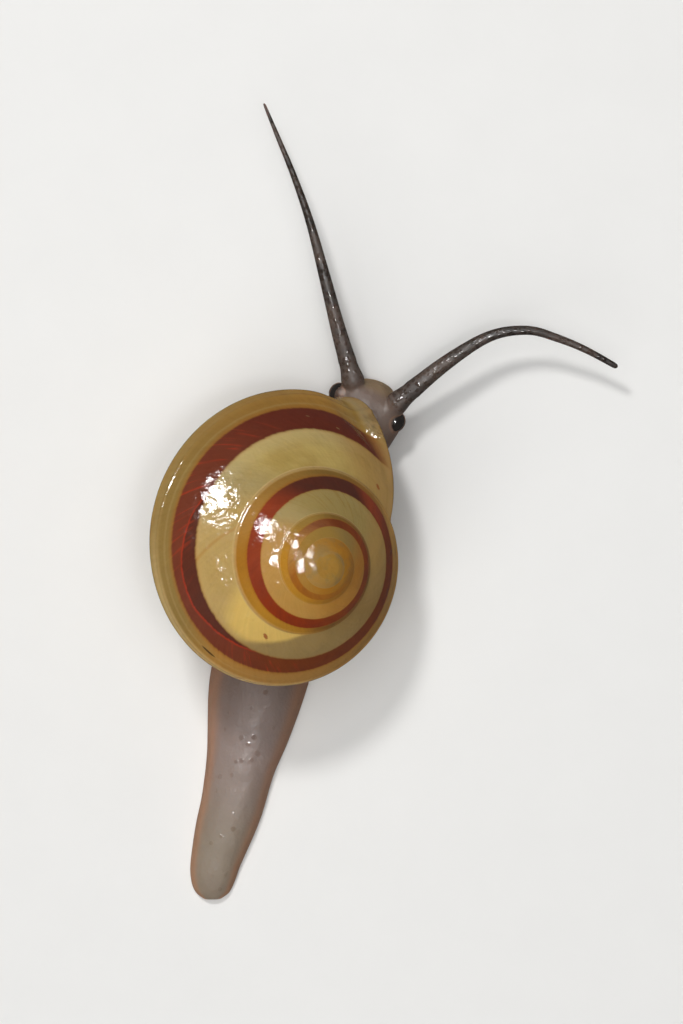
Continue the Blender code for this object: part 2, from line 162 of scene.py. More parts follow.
# The feelers' paths from root to tip, and their radii on the way, in millimetres.
FEELERS = {
    "left": (
        (-3.25, -8.60, 2.30),
        (-2.95, -9.70, 2.60),
        (-2.40, -11.60, 2.90),
        (-1.73, -14.20, 3.10),
        (-1.00, -16.90, 3.15),
        (-0.20, -19.20, 3.05),
        (0.62, -21.20, 2.85),
        (1.30, -22.85, 2.60),
    ),
    "right": (
        (-5.04, -7.60, 2.30),
        (-5.92, -8.36, 2.60),
        (-7.93, -9.96, 2.95),
        (-10.03, -11.22, 3.10),
        (-11.90, -11.50, 3.05),
        (-13.37, -11.12, 2.85),
        (-14.88, -10.50, 2.60),
        (-16.35, -9.70, 2.30),
    ),
}
FEELER_RADII = {
    "left": (0.84, 0.49, 0.375, 0.29, 0.21, 0.155, 0.115, 0.065),
    "right": (0.82, 0.50, 0.37, 0.275, 0.23, 0.20, 0.17, 0.14),
}
FEELER_PATCH = (4, 2)  # faces of the head that a feeler grows from, along and across
FEELER_START = 0.3  # where a feeler's first ring lies, in points of its path
FEELER_STEP = 0.2  # from one ring to the next, in points of its path
BULGE_PLACE = (1.49 * MM, -0.03 * MM, 1.83 * MM)  # to the side, ahead and up
BULGE_RADIUS = 0.60 * MM
EYE_PLACE = (1.60 * MM, -0.03 * MM, 2.03 * MM)
EYE_RADIUS = 0.44 * MM
LEFT_LID = (-0.10 * MM, 0.0, 0.10 * MM)  # how much farther the skin comes over the left eye
EYE_LENGTH = 1.15  # how much longer an eye is than wide
EYE_FLATTENING = 0.1  # how far it is pressed in where it bulges out, in eye radii
EYE_EDGE = 0.16 * MM  # width of the edge of skin round an eye
# The solids that the skin stands for, besides those of the feelers.
FLESH_NODES = (
    "mantle", "stalk", "neck", "head", "snout", "foot_edge", "foot_front", "foot_middle", "tail",
    "tail_tip", "eye_bulge_left", "eye_bulge_right",
)
ROOT_BLEND = 1.25 * MM  # how far round its root a feeler is blended into the head
ROOT_PASSES = 50
STALK_STATIONS = (11.0, 13.67)  # the stretch of back that the stalk grows from
STALK_SPANS = 8
STALK_SHARES = (0.2, 0.4, 0.6, 0.8, 0.95)  # its rings, in shares of its height
STALK_WAIST = 0.12  # how much it narrows halfway up
STALK_GAP = 0.4 * MM  # between its top and the wall of the opening
# The mantle's rings: gap to the wall, and depth in the hollow as a share of the hollow's own.
MANTLE_RINGS = ((0.09 * MM, 0.0), (0.06 * MM, 0.25), (0.06 * MM, 0.6), (0.08 * MM, 0.9))
OPERCULUM_MIDDLE = Vector((0.75, 2.60, 2.65)) * MM
OPERCULUM_HALF = (1.55 * MM, 2.45 * MM)
OPERCULUM_FLAT = 0.35  # how far its straighter side bows out, in the other's
OPERCULUM_THICKNESS = 0.24 * MM  # at its edge
OPERCULUM_STEPS = (-0.015 * MM, 0.018 * MM)  # down into a furrow and up onto a ring, in turn
OPERCULUM_TURN = math.radians(14)
OPERCULUM_RINGS = 24

# --- Light and camera -----------------------------------------------------------------------------
VIEW_HEIGHT = 51.2 * MM  # what the view's long side takes in
LENS = 400.0  # in millimetres, on the camera's standard sensor
VIEW_MIDDLE = Vector((-2.575, -2.4, 4.0)) * MM  # what the middle of the view looks down on
NEAREST, FARTHEST = 0.01, 10.0  # what the camera sees, in metres
FLOOR_HALF = 1.5
ROOM_GLOW = 0.10  # strength of the light from all round
# Name, place from the snail's middle, width, power, and whether it is seen only in gloss.
LIGHTS = (
    ("key", (0.07, -0.15, 0.26), 0.045, 0.36, False),
    ("gleam", (0.07, -0.15, 0.26), 0.070, 1.10, True),
    ("gleam_above", (-0.025, 0.025, 0.30), 0.045, 1.10, True),
    ("overhead", (0.03, 0.02, 0.55), 0.50, 1.25, False),
    ("fill", (0.20, 0.25, 0.30), 0.30, 0.55, False),
)


# --- Mesh helpers ---------------------------------------------------------------------------------
def along(rows, at):
    """The row at a fractional index of a smooth curve through the rows."""
    k = min(int(at), len(rows) - 2)
    t = at - k
    before, after = rows[max(k - 1, 0)], rows[min(k + 2, len(rows) - 1)]
    found = []
    for p0, p1, p2, p3 in zip(before, rows[k], rows[k + 1], after):
        slope, bend = p2 - p0, 2 * p0 - 5 * p1 + 4 * p2 - p3
        found.append(p1 + 0.5 * (slope * t + bend * t**2 + (3 * p1 - p0 - 3 * p2 + p3) * t**3))
    return found


def fade(value, low, high):
    """0 at low, 1 at high, smooth between."""
    t = min(max((value - low) / (high - low), 0.0), 1.0)
    return t * t * (3 - 2 * t)


def hump(value, middle, width):
    return math.exp(-(((value - middle) / width) ** 2))


def edge_between(a, b):
    return next(e for e in a.link_edges if e.other_vert(a) is b)


def edges_of(line, closed):
    ends = line[1:] + line[:1] if closed else line[1:]
    return [edge_between(a, b) for a, b in zip(line, ends)]


def extruded(bm, line, closed=True):
    """Extrudes a line of vertices and returns the new ones in the same order."""
    made = bmesh.ops.extrude_edge_only(bm, edges=edges_of(line, closed))["geom"]
    new = {v for v in made if isinstance(v, bmesh.types.BMVert)}
    return [next(e.other_vert(v) for e in v.link_edges if e.other_vert(v) in new) for v in line]


def first_line(bm, points, closed=True):
    line = [bm.verts.new(p) for p in points]
    for a, b in zip(line, line[1:] + line[:1] if closed else line[1:]):
        bm.edges.new((a, b))
    return line


def finished(name, bm, material, slot, *nodes):
    """Makes a piece of the mesh that stands for these solids."""
    bmesh.ops.recalc_face_normals(bm, faces=bm.faces)
    mesh = bpy.data.meshes.new(name)
    bm.to_mesh(mesh)
    bm.free()
    mesh.materials.append(material)
    mesh.shade_smooth()
    piece = bpy.data.objects.new(name, mesh)
    bpy.context.scene.collection.objects.link(piece)
    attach(piece, "root")
    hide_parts(*nodes)
    return piece


def subdivided(piece, levels):
    rounding = piece.modifiers.new("rounding", "SUBSURF")
    rounding.levels = levels
    rounding.render_levels = levels
    return piece


# --- Shell ----------------------------------------------------------------------------------------
def growth(steps):
    """The similarity that carries the shell's surface on by this many growth steps."""
    turn = math.tau * steps / STEPS
    return Matrix.Rotation(-turn, 4, "Z") @ Matrix.Scale(WHORL_GROWTH ** (steps / STEPS), 4)


def lip_point(radius, depth, lag):
    """A point of the lip, in the shell's own frame: apex at the origin, axis along Z."""
    return growth(-lag) @ Vector((radius * math.cos(LIP_AZIMUTH), radius * math.sin(LIP_AZIMUTH), -depth))


def upper_lip():
    keel = Vector((SHELL_RADIUS, KEEL_DROP * SHELL_RADIUS))
    suture = keel / WHORL_GROWTH
    chord = keel - suture
    outwards = Vector((chord.y, -chord.x))
    points = []
    for t in UPPER_SHARES:
        swell = WHORL_BULGE * 4 * t * (1 - t) * chord.length
        bead = KEEL_BEAD * SHELL_RADIUS * hump(t, *KEEL_BEAD_PLACE) * (1 - t**KEEL_BEAD_END)
        radius, depth = suture + chord * t + outwards.normalized() * (swell + bead)
        points.append(lip_point(radius, depth, LIP_LAG * (1 - (1 - t) ** LIP_SLANT)))
    return points


def base_lip():
    points = []
    for i in range(BASE_SPANS + 1):
        radius, depth, lag = along(BASE_PROFILE, (len(BASE_PROFILE) - 1) * i / BASE_SPANS)
        points.append(lip_point(radius * SHELL_RADIUS, (KEEL_DROP + depth) * SHELL_RADIUS, lag * STEPS))
    return points


def opening():
    """The rim of the opening: the lip, then back over the whorl before it."""
    base = base_lip()
    wall = [growth(LIP_LAG - STEPS) @ p for p in base]
    return upper_lip() + base[1:] + wall[:0:-1]


def drawn_in(loop, distance):
    middle = sum(loop, Vector()) / len(loop)
    return [p - (p - middle).normalized() * distance for p in loop]


def grown(bm, lip, steps, shares, layer):
    """A sheet grown up to the lip, mapped by turns before the lip and share of the way across."""
    line = first_line(bm, [growth(-steps) @ p for p in lip], closed=False)
    lines = [line]
    for _ in range(steps):
        line = extruded(bm, line, closed=False)
        bmesh.ops.transform(bm, matrix=growth(1), verts=line)
        lines.append(line)
    place = {}
    for i, row in enumerate(lines):
        place.update((v, ((steps - i) / STEPS, share)) for v, share in zip(row, shares))
    for face in {f for v in place for f in v.link_faces}:
        for loop in face.loops:
            loop[layer].uv = place[loop.vert]
    return lines


def in_place(point):
    """Draws in the last whorl, rounds the tip of the spire and sets the shell down on the animal."""
    width = 1 - NARROWING * fade(-point.z, *NARROW_DEPTHS)
    rounded = Vector((point.x * width, point.y * width, -math.hypot(point.z, APEX_ROUND)))
    turned = Matrix.Rotation(LEAN_HEADING, 4, "Z") @ Matrix.Rotation(LEAN, 4, "Y") @ rounded
    return APEX + turned


def hollow(inset, depths):
    """Sections of the hollow behind the opening, at shares of its depth, in the shell's own frame."""
    rim = drawn_in(opening(), inset)
    middle = sum(rim, Vector()) / len(rim)
    upper = len(UPPER_SHARES) - 1
    suture, keel, axis = rim[0], rim[upper], rim[upper + BASE_SPANS]
    inward = (keel - suture).cross(axis - suture).normalized()
    floor = [middle + inward * HOLLOW_DEPTH + (p - middle) * HOLLOW_TAPER for p in rim]
    return [[p.lerp(q, depth) for p, q in zip(rim, floor)] for depth in depths]


def flare_lip(upper, base):
    """Draws the whorl in just behind the lip, turns the lip out and runs its lobe forward."""
    rim = opening()
    middle = sum(rim, Vector()) / len(rim)
    shares = UPPER_SHARES + BASE_SHARES[1:]
    for i in range(FLARE_STEPS + 1):
        turns = i / STEPS
        row = -1 - i
        for share, vert in zip(shares, upper[row] + base[row][1:]):
            flare = LIP_FLARE * hump(turns, 0, FLARE_RUN) * fade(share, 0.1, 0.9) * fade(share, 2.0, 1.4)
            pinch = LIP_PINCH * hump(turns, *PINCH_RUN) * hump(share, *PINCH_PLACE)
            lobe = LIP_LOBE * hump(turns, 0, LOBE_RUN) * hump(share, *LOBE_PLACE)
            forward = (growth(1) @ vert.co - vert.co).normalized()
            vert.co += (vert.co - middle).normalized() * (flare - pinch) + forward * lobe
        base[row][0].co = upper[row][-1].co


def close_opening(bm, rim, layer):
    """Turns the lip in by its wall and closes the opening with a hollow for the mantle."""
    line = rim
    for places in hollow(LIP_WALL, HOLLOW_SHARES):
        line = extruded(bm, line)
        for vert, place in zip(line, places):
            vert.co = place
        for loop in (loop for vert in line for face in vert.link_faces for loop in face.loops):
            loop[layer].uv = INSIDE
    floor = bmesh.ops.poke(bm, faces=[bm.faces.new(line)])["faces"]
    for loop in (loop for face in floor for loop in face.loops):
        loop[layer].uv = INSIDE


def build_shell():
    bm = bmesh.new()
    layer = bm.loops.layers.uv.new("growth")
    upper = grown(bm, upper_lip(), round(WHORLS * STEPS), UPPER_SHARES, layer)
    base = grown(bm, base_lip(), STEPS - LIP_LAG, BASE_SHARES, layer)
    tip = bm.faces.new([line[0] for line in upper[STEPS - LIP_LAG :: -1]] + upper[0][1:-1])
    navel = bm.faces.new([line[-1] for line in base])
    for face, place in ((tip, (WHORLS, 0.5)), (navel, (0.5, 2.0))):
        for loop in face.loops:
            loop[layer].uv = place
    flare_lip(upper, base)
    places = [v.co.copy() for v in upper[-1] + base[-1][1:] + base[0][:0:-1]]
    bmesh.ops.remove_doubles(bm, verts=bm.verts, dist=MERGE)
    rim = [min(bm.verts, key=lambda v: (v.co - place).length) for place in places]
    close_opening(bm, rim, layer)
    for vert in bm.verts:
        vert.co = in_place(vert.co)
    bmesh.ops.triangulate(bm, faces=[f for f in bm.faces if len(f.verts) > 4])
    piece = finished("shell_banded", bm, shell_finish(), "shell", "shell")
    return subdivided(piece, 1)


# --- Flesh ----------------------------------------------------------------------------------------
def heading(at):
    """The way the body runs at a station, towards the head."""
    before, after = (Vector(along(STATIONS, min(max(at + d, 0), LAST))[:2]) for d in (-0.3, 0.3))
    return (after - before).to_3d().normalized()


def body_section(at):
    """A section of the body at a fractional station, with how near each point is to the foot's edge."""
    *row, square = along(STATIONS, at)
    x, y, sole, back, height, flat = (MM * value for value in row)
    side = heading(at).cross(UP)
    sole, back = (max(width, LEAST_WIDTH) - SKIN_INSET for width in (sole, back))
    height = max(height, LEAST_HEIGHT) - SKIN_INSET
    flank = 1 - 0.8 * fade(at, *THIN_EDGE)
    outline = [(share * sole, 0.0, 0.2) for share in SOLE_SHARES]
    outline += [(sole, 0.2 * SOLE_RIM, flank), (sole, 0.7 * SOLE_RIM, 0.9 * flank)]
    for i in range(BACK_SPANS + 1):
        turn = math.pi * (0.04 + 0.92 * i / BACK_SPANS)
        rise = min(SOLE_RIM + (height - SOLE_RIM) * math.sin(turn) ** square, flat - SKIN_INSET)
        outline.append((back * math.cos(turn), rise, fade(abs(math.cos(turn)), 0.60, 1.0) * flank))
    outline += [(-sole, 0.7 * SOLE_RIM, 0.9 * flank), (-sole, 0.2 * SOLE_RIM, flank)]
    middle = Vector((x, y, 0))
    return [(middle + side * s + UP * z, rim) for s, z, rim in outline]


def build_body(bm, marks):
    """The body's rings of vertices, from the tail's tip to the head."""
    rings = []
    for i in range(RINGS):
        at = (LAST - SNOUT_CUT) * i / (RINGS - 1)
        section = body_section(at)
        ring = extruded(bm, rings[-1]) if rings else first_line(bm, [p for p, _ in section])
        for vert, (place, rim) in zip(ring, section):
            vert.co = place
            vert[marks["along"]] = at / LAST
            vert[marks["rim"]] = rim
        rings.append(ring)
    line = rings[-1]
    middle = sum((v.co for v in line), Vector()) / len(line)
    for share in SNOUT_SHARES:
        line = extruded(bm, line)
        for vert, outer in zip(line, rings[-1]):
            vert.co = middle.lerp(outer.co, share) + heading(LAST) * SNOUT_ROUND * (1 - share**2)
    bmesh.ops.poke(bm, faces=[bm.faces.new(rings[0]), bm.faces.new(line)])
    return rings


def opened(bm, rings, row, column, rows, columns):
    """Takes a patch out of the grid of rings and returns its edge in order."""
    block = [ring[column : column + columns + 1] for ring in rings[row : row + rows + 1]]
    inside = {v for line in block for v in line}
    faces = [f for f in {f for v in inside for f in v.link_faces} if inside.issuperset(f.verts)]
    left = [line[0] for line in block]
    right = [line[-1] for line in block]
    edge = block[0] + right[1:] + block[-1][-2::-1] + left[-2:0:-1]
    bmesh.ops.delete(bm, geom=faces, context="FACES")
    return edge


def nearest_patch(rings, place, rows, columns):
    """The row and column of the patch of this size whose middle is nearest the place."""
    best = None
    for row in range(len(rings) - rows):
        for column in range(len(SOLE_SHARES) + 2, len(rings[0]) - columns - 1):
            middle = rings[row + rows // 2][column + columns // 2].co
            distance = (middle - place).length
            if best is None or distance < best[0]:
                best = (distance, row, column)
    return best[1:]


def grow_feeler(bm, edge, side, marks):
    """Draws a feeler out of the head, round in section and tapering to its tip."""
    rows = [(*point, radius) for point, radius in zip(FEELERS[side], FEELER_RADII[side])]
    along_head = edge[0][marks["along"]]
    count = len(edge)
    last = len(rows) - 1
    line = edge
    steps = round((last - FEELER_START) / FEELER_STEP)
    first_turn = None
    for i in range(steps + 1):
        at = FEELER_START + (last - FEELER_START) * i / steps
        here = Vector(along(rows, at)[:3]) * MM
        radius = along(rows, at)[3] * MM * 3 / (2 + math.cos(math.tau / count))
        ahead = Vector(along(rows, min(at + 0.1, last))[:3]) * MM
        behind = Vector(along(rows, max(at - 0.1, 0))[:3]) * MM
        way = (ahead - behind).normalized()
        across = way.cross(UP).normalized()
        rise = across.cross(way)
        if first_turn is None:
            turns = [math.atan2((v.co - here).dot(rise), (v.co - here).dot(across)) for v in edge]
            step = (turns[1] - turns[0] + math.pi) % math.tau - math.pi
            sense = math.copysign(1.0, step)
            offsets = [(t - sense * math.tau * k / count) for k, t in enumerate(turns)]
            first_turn = math.atan2(sum(map(math.sin, offsets)), sum(map(math.cos, offsets)))
        line = extruded(bm, line)
        for k, vert in enumerate(line):
            turn = first_turn + sense * math.tau * k / count
            vert.co = here + (across * math.cos(turn) + rise * math.sin(turn)) * radius
            vert[marks["feeler"]] = at / last
            vert[marks["along"]] = along_head
            vert[marks["rim"]] = 0.0
    tip = bmesh.ops.poke(bm, faces=[bm.faces.new(line)])["verts"][0]
    tip.co = tip.co + way * radius * 0.8
    tip[marks["feeler"]] = 1.0


def evenly(loop, count):
    """Points evenly spaced round a closed loop."""
    steps = [(b - a).length for a, b in zip(loop, loop[1:] + loop[:1])]
    whole = sum(steps)
    found = []
    for i in range(count):
        left = whole * i / count
        k = 0
        while left > steps[k]:
            left -= steps[k]
            k += 1
        found.append(loop[k].lerp(loop[(k + 1) % len(loop)], left / steps[k]))
    return found


def best_start(edge, loop):
    """The loop turned, and reversed if need be, to lie best with the edge."""
    places = [v.co for v in edge]
    middle = sum(loop, Vector()) / len(loop)
    shift = middle - sum(places, Vector()) / len(places)
    tries = []
    for way in (loop, loop[::-1]):
        for start in range(len(way)):
            turned = way[start:] + way[:start]
            tries.append((sum((a + shift - b).length for a, b in zip(places, turned)), turned))
    return min(tries, key=lambda t: t[0])[1]


def mantle_ring(gap, depth, count):
    """Points evenly spaced round the hollow, this far off its wall and at this share of its depth."""
    (section,) = hollow(LIP_WALL + gap, (depth,))
    return evenly([in_place(p) for p in section], count)


def grow_stalk(bm, rings, marks):
    """Draws the stalk out of the back and spreads it as the mantle that fills the shell's opening."""
    row, end = (round((RINGS - 1) * at / LAST) for at in STALK_STATIONS)
    column = len(SOLE_SHARES) + 2 + (BACK_SPANS - STALK_SPANS) // 2
    edge = opened(bm, rings, row, column, end - row, STALK_SPANS)
    top = best_start(edge, mantle_ring(STALK_GAP, 0.0, len(edge)))
    foot = [v.co.copy() for v in edge]
    line = edge
    for share in STALK_SHARES:
        line = extruded(bm, line)
        middle = sum((a.lerp(b, share) for a, b in zip(foot, top)), Vector()) / len(foot)
        for vert, low, high in zip(line, foot, top):
            place = low.lerp(high, share)
            vert.co = place.lerp(middle, STALK_WAIST * math.sin(math.pi * share))
            vert[marks["rim"]] = 0.0
    for gap, depth in MANTLE_RINGS:
        places = best_start(line, mantle_ring(gap, depth, len(edge)))
        line = extruded(bm, line)
        for vert, place in zip(line, places):
            vert.co = place
            vert[marks["rim"]] = 0.3
    bmesh.ops.poke(bm, faces=[bm.faces.new(line)])


def on_head(place, side):
    """A place given to the side, ahead and up, on the snail's right (1) or left (-1)."""
    return HEAD + RIGHT * side * place[0] + AHEAD * place[1] + UP * place[2]


def swollen(place, middle, way, radius):
    """The place lifted along the way onto a dome about the middle, with a smooth foot."""
    away = place - middle
    height = away.dot(way)
    across = (away - way * height).length / radius
    if across > 1.5 or height < -2.2 * radius:
        return place
    dome = radius * (math.sqrt(max(1 - across**2, 0.0)) - 0.9 * fade(across, 0.75, 1.5))
    return place + way * max(dome - height, 0.0) * fade(across, 1.5, 0.9)


def worked(place, at, feeler):
    """Models the finer forms of the flesh: ripples, the fold over the foot, eye bulges, snout and mouth."""
    if feeler > 0.04:
        ripple = noise.noise(place * 2600) + 0.6 * noise.noise(place * 6200)
        return place + UP * FEELER_RIPPLE * ripple
    ahead = (place - HEAD).dot(AHEAD)
    on_front = fade(at, 13.0, 14.6)
    inward = Vector(((HEAD - place).x, (HEAD - place).y, 0.0))
    if on_front > 0 and inward.length > 0.3 * MM:
        fold = CREASE_FOLD * hump(place.z, CREASE_HEIGHT, CREASE_FOLD) * on_front
        place = place + inward.normalized() * fold * (1 + 0.6 * fade(ahead, 0.5 * MM, 1.1 * MM))
    for side in (-1, 1):
        bulge = on_head(BULGE_PLACE, side)
        over = (on_head(EYE_PLACE, side) - bulge).normalized()
        place = swollen(place, bulge, (RIGHT * side * 0.9 + UP * 0.2).normalized(), BULGE_RADIUS)
        place = swollen(place, bulge, over, BULGE_RADIUS)
        if side < 0:
            lid = bulge + on_head(LEFT_LID, side) - HEAD
            place = swollen(place, lid, over, BULGE_RADIUS)
    snout = fade(place.z, 0.9 * MM, 1.2 * MM) * fade(place.z, 2.0 * MM, 1.6 * MM)
    wrinkle = math.sin(place.z / MM * 17 + 2.0 * noise.noise(place * 900))
    place = place + AHEAD * WRINKLE_DEPTH * wrinkle * snout * fade(ahead, 0.55 * MM, 1.0 * MM)
    aside = ((place - HEAD).dot(RIGHT) - MOUTH_PLACE[0]) / MOUTH_HALF[0]
    mouth = math.hypot(aside, (place.z - MOUTH_PLACE[1]) / MOUTH_HALF[1])
    lips = 0.3 * hump(mouth, 2.0, 0.9) - hump(mouth, 0.0, 1.0)
    place = place + AHEAD * MOUTH_DEPTH * lips * fade(ahead, 0.9 * MM, 1.2 * MM)
    if place.z > 0.05 * MM:
        broad, fine = LUMP_HEIGHTS
        lumps = noise.noise(place * 1300) * broad + noise.noise(place * 3600) * fine
        place = place + UP * lumps * fade(place.z, 0.05 * MM, 0.5 * MM)
    return place


def build_flesh():
    bm = bmesh.new()
    marks = {name: bm.verts.layers.float.new(name) for name in ("along", "rim", "feeler")}
    rings = build_body(bm, marks)
    roots = {side: Vector(FEELERS[side][0]) * MM for side in FEELERS}
    patches = {side: nearest_patch(rings, root, *FEELER_PATCH) for side, root in roots.items()}
    for side, patch in patches.items():
        grow_feeler(bm, opened(bm, rings, *patch, *FEELER_PATCH), side, marks)
    grow_stalk(bm, rings, marks)
    nodes = [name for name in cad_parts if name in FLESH_NODES or name.startswith("feeler_")]
    skin = flesh_finish()
    cage = subdivided(finished("flesh_cage", bm, skin, "flesh"), 2)
    shaped = bpy.data.meshes.new_from_object(cage.evaluated_get(bpy.context.evaluated_depsgraph_get()))
    bpy.data.objects.remove(cage)
    bm = bmesh.new()
    bm.from_mesh(shaped)
    marks = {name: bm.verts.layers.float[name] for name in ("along", "rim", "feeler")}
    near_eye = bm.verts.layers.float.new("eye")
    for side in FEELERS:
        root = Vector(along(FEELERS[side], 0.35)) * MM
        around = [v for v in bm.verts if (v.co - root).length < ROOT_BLEND]
        for _ in range(ROOT_PASSES):
            bmesh.ops.smooth_vert(
                bm, verts=around, factor=0.5, use_axis_x=True, use_axis_y=True, use_axis_z=True
            )
    for vert in bm.verts:
        vert.co = worked(vert.co.copy(), LAST * vert[marks["along"]], vert[marks["feeler"]])
        vert.co.z = max(vert.co.z, 0.0)
        away = min((vert.co - on_head(EYE_PLACE, side)).length for side in (-1, 1))
        vert[near_eye] = hump(away, EYE_RADIUS, EYE_EDGE)
    return finished("flesh_skin", bm, skin, "flesh", *nodes)


def build_eye(name, side):
    """A dark round eye, a little flatter where it bulges out."""
    bm = bmesh.new()
    bmesh.ops.create_icosphere(bm, subdivisions=5, radius=EYE_RADIUS)
    outwards = (on_head(EYE_PLACE, side) - on_head(BULGE_PLACE, side)).normalized()
    for vert in bm.verts:
        bulge = max(vert.co.dot(outwards), 0.0) / EYE_RADIUS
        vert.co -= outwards * EYE_RADIUS * EYE_FLATTENING * bulge**2
        vert.co += AHEAD * vert.co.dot(AHEAD) * (EYE_LENGTH - 1)
    bmesh.ops.translate(bm, vec=on_head(EYE_PLACE, side), verts=bm.verts)
    return finished("eyeball_" + name, bm, eye_finish(), "eye", "eye_" + name)


def build_operculum():
    """The plate that shuts the shell, carried on the back of the foot: a half oval with raised rings."""
    bm = bmesh.new()
    bmesh.ops.create_circle(bm, cap_ends=True, segments=96, radius=1.0)
    for vert in bm.verts:
        if vert.co.x < 0:
            vert.co.x *= OPERCULUM_FLAT
    bmesh.ops.scale(bm, vec=(*OPERCULUM_HALF, 1.0), verts=bm.verts)
    made = bmesh.ops.extrude_face_region(bm, geom=bm.faces[:])["geom"]
    (top,) = [f for f in made if isinstance(f, bmesh.types.BMFace)]
    bmesh.ops.translate(bm, vec=UP * OPERCULUM_THICKNESS, verts=top.verts)
    for i in range(1, OPERCULUM_RINGS):
        bmesh.ops.inset_region(bm, faces=[top], thickness=0.0)
        shrink = (OPERCULUM_RINGS - i) / (OPERCULUM_RINGS - i + 1)
        bmesh.ops.scale(bm, vec=(shrink, shrink, 1.0), verts=top.verts)
        bmesh.ops.translate(bm, vec=UP * OPERCULUM_STEPS[i % 2], verts=top.verts)
    bmesh.ops.poke(bm, faces=[f for f in bm.faces if len(f.verts) > 8])
    place = Matrix.Translation(OPERCULUM_MIDDLE) @ Matrix.Rotation(OPERCULUM_TURN, 4, "Z")
    bmesh.ops.transform(bm, matrix=place, verts=bm.verts)
    return finished("operculum_plate", bm, operculum_finish(), "operculum", "operculum")


# --- Looks ----------------------------------------------------------------------------------------
def paint(red, green, blue):
    """A colour, given as it shows on a screen, for a shader."""
    found = []
    for value in (red, green, blue):
        share = value / 255
        found.append(share / 12.92 if share <= 0.04045 else ((share + 0.055) / 1.055) ** 2.4)
    return (*found, 1.0)


def plug(tree, socket, value):
    """Feeds a socket from another node's output, or sets it to a plain value."""
    if isinstance(value, bpy.types.NodeSocket):
        tree.links.new(value, socket)
    else:
        socket.default_value = value


def node(tree, kind, inputs=None, **settings):
    """Adds a shader node; an input is either a value or another node's output."""
    made = tree.nodes.new("ShaderNode" + kind)
    for name, value in settings.items():
        setattr(made, name, value)
    for name, value in (inputs or {}).items():
        plug(tree, made.inputs[name], value)
    return made


def on_object(tree):
    """Where a point lies, in the frame that the whole snail shares."""
    return node(tree, "TexCoord").outputs["Object"]


def calc(tree, operation, *values):
    return node(tree, "Math", dict(enumerate(values)), operation=operation).outputs[0]


def times(tree, first, *others):
    for other in others:
        first = calc(tree, "MULTIPLY", first, other)
    return first


def plus(tree, first, second):
    return calc(tree, "ADD", first, second)


def less(tree, first, second):
    return calc(tree, "SUBTRACT", first, second)


def between(tree, value, low, high, start=0.0, end=1.0):
    """A smooth change from start to end as the value goes from low to high."""
    inputs = {"Value": value, "From Min": low, "From Max": high, "To Min": start, "To Max": end}
    return node(tree, "MapRange", inputs, interpolation_type="SMOOTHSTEP").outputs["Result"]


def falling(tree, value, low, high):
    """1 up to low, 0 from high on, smooth between."""
    return between(tree, value, low, high, 1.0, 0.0)


def near(tree, value, middle, width):
    """1 at the middle, 0 farther than the width from it."""
    return falling(tree, calc(tree, "ABSOLUTE", less(tree, value, middle)), 0.0, width)


def swing(tree, value, strength, middle):
    """A noise round one half turned into a swing of some strength about another middle."""
    return calc(tree, "MULTIPLY_ADD", less(tree, value, 0.5), strength, middle)


def mixed(tree, share, first, second):
    """A share of the second colour over the first."""
    inputs = {0: share, 6: first, 7: second}
    return node(tree, "Mix", inputs, data_type="RGBA").outputs[2]


def ramp(tree, value, stops, reach=1.0):
    """Colours at places along a value that runs from 0 to reach."""
    made = node(tree, "ValToRGB", {"Fac": calc(tree, "DIVIDE", value, reach)})
    made.color_ramp.interpolation = "EASE"
    elements = made.color_ramp.elements
    while len(elements) < len(stops):
        elements.new(0.5)
    for element, (place, colour) in zip(elements, stops):
        element.position = place / reach
        element.color = colour
    return made.outputs["Color"]


def curve(tree, value, points, reach):
    """A smooth line through points, over a value that runs from 0 to reach."""
    made = node(tree, "FloatCurve", {"Value": calc(tree, "DIVIDE", value, reach)})
    line = made.mapping.curves[0]
    while len(line.points) < len(points):
        line.points.new(0.5, 0.5)
    for point, (place, height) in zip(line.points, points):
        point.location = (place / reach, height)
    made.mapping.update()
    return made.outputs["Value"]


def noise_at(tree, place, scale, detail=2.0, roughness=0.5):
    inputs = {"Vector": place, "Scale": scale, "Detail": detail, "Roughness": roughness}
    return node(tree, "TexNoise", inputs).outputs["Fac"]


def spread(tree, x, y, x_scale, y_scale):
    """A place made of two values, each stretched by its own scale."""
    inputs = {"X": times(tree, x, x_scale), "Y": times(tree, y, y_scale)}
    return node(tree, "CombineXYZ", inputs).outputs["Vector"]


def new_group(name, inputs, outputs):
    """A node group of plain values, with the sockets inside it that its work starts and ends at."""
    tree = bpy.data.node_groups.new(name, "ShaderNodeTree")
    for way, sockets in (("INPUT", inputs), ("OUTPUT", outputs)):
        for socket in sockets:
            tree.interface.new_socket(socket, in_out=way, socket_type="NodeSocketFloat")
    return tree, tree.nodes.new("NodeGroupInput").outputs, tree.nodes.new("NodeGroupOutput").inputs


def make_growth_lines():
    """Fine lines parallel to the edge that grew, with a few stronger ones."""
    tree, start, end = new_group("growth_lines", ("Growth", "Across", "Fineness"), ("Fine", "Broad"))
    run = times(tree, start["Growth"], start["Fineness"])
    fine = noise_at(tree, spread(tree, run, start["Across"], 1.0, 1.3), 1.0, 3.0, 0.6)
    broad = noise_at(tree, spread(tree, run, start["Across"], 0.13, 1.6), 1.0, 3.0, 0.65)
    tree.links.new(fine, end["Fine"])
    tree.links.new(broad, end["Broad"])
    return tree


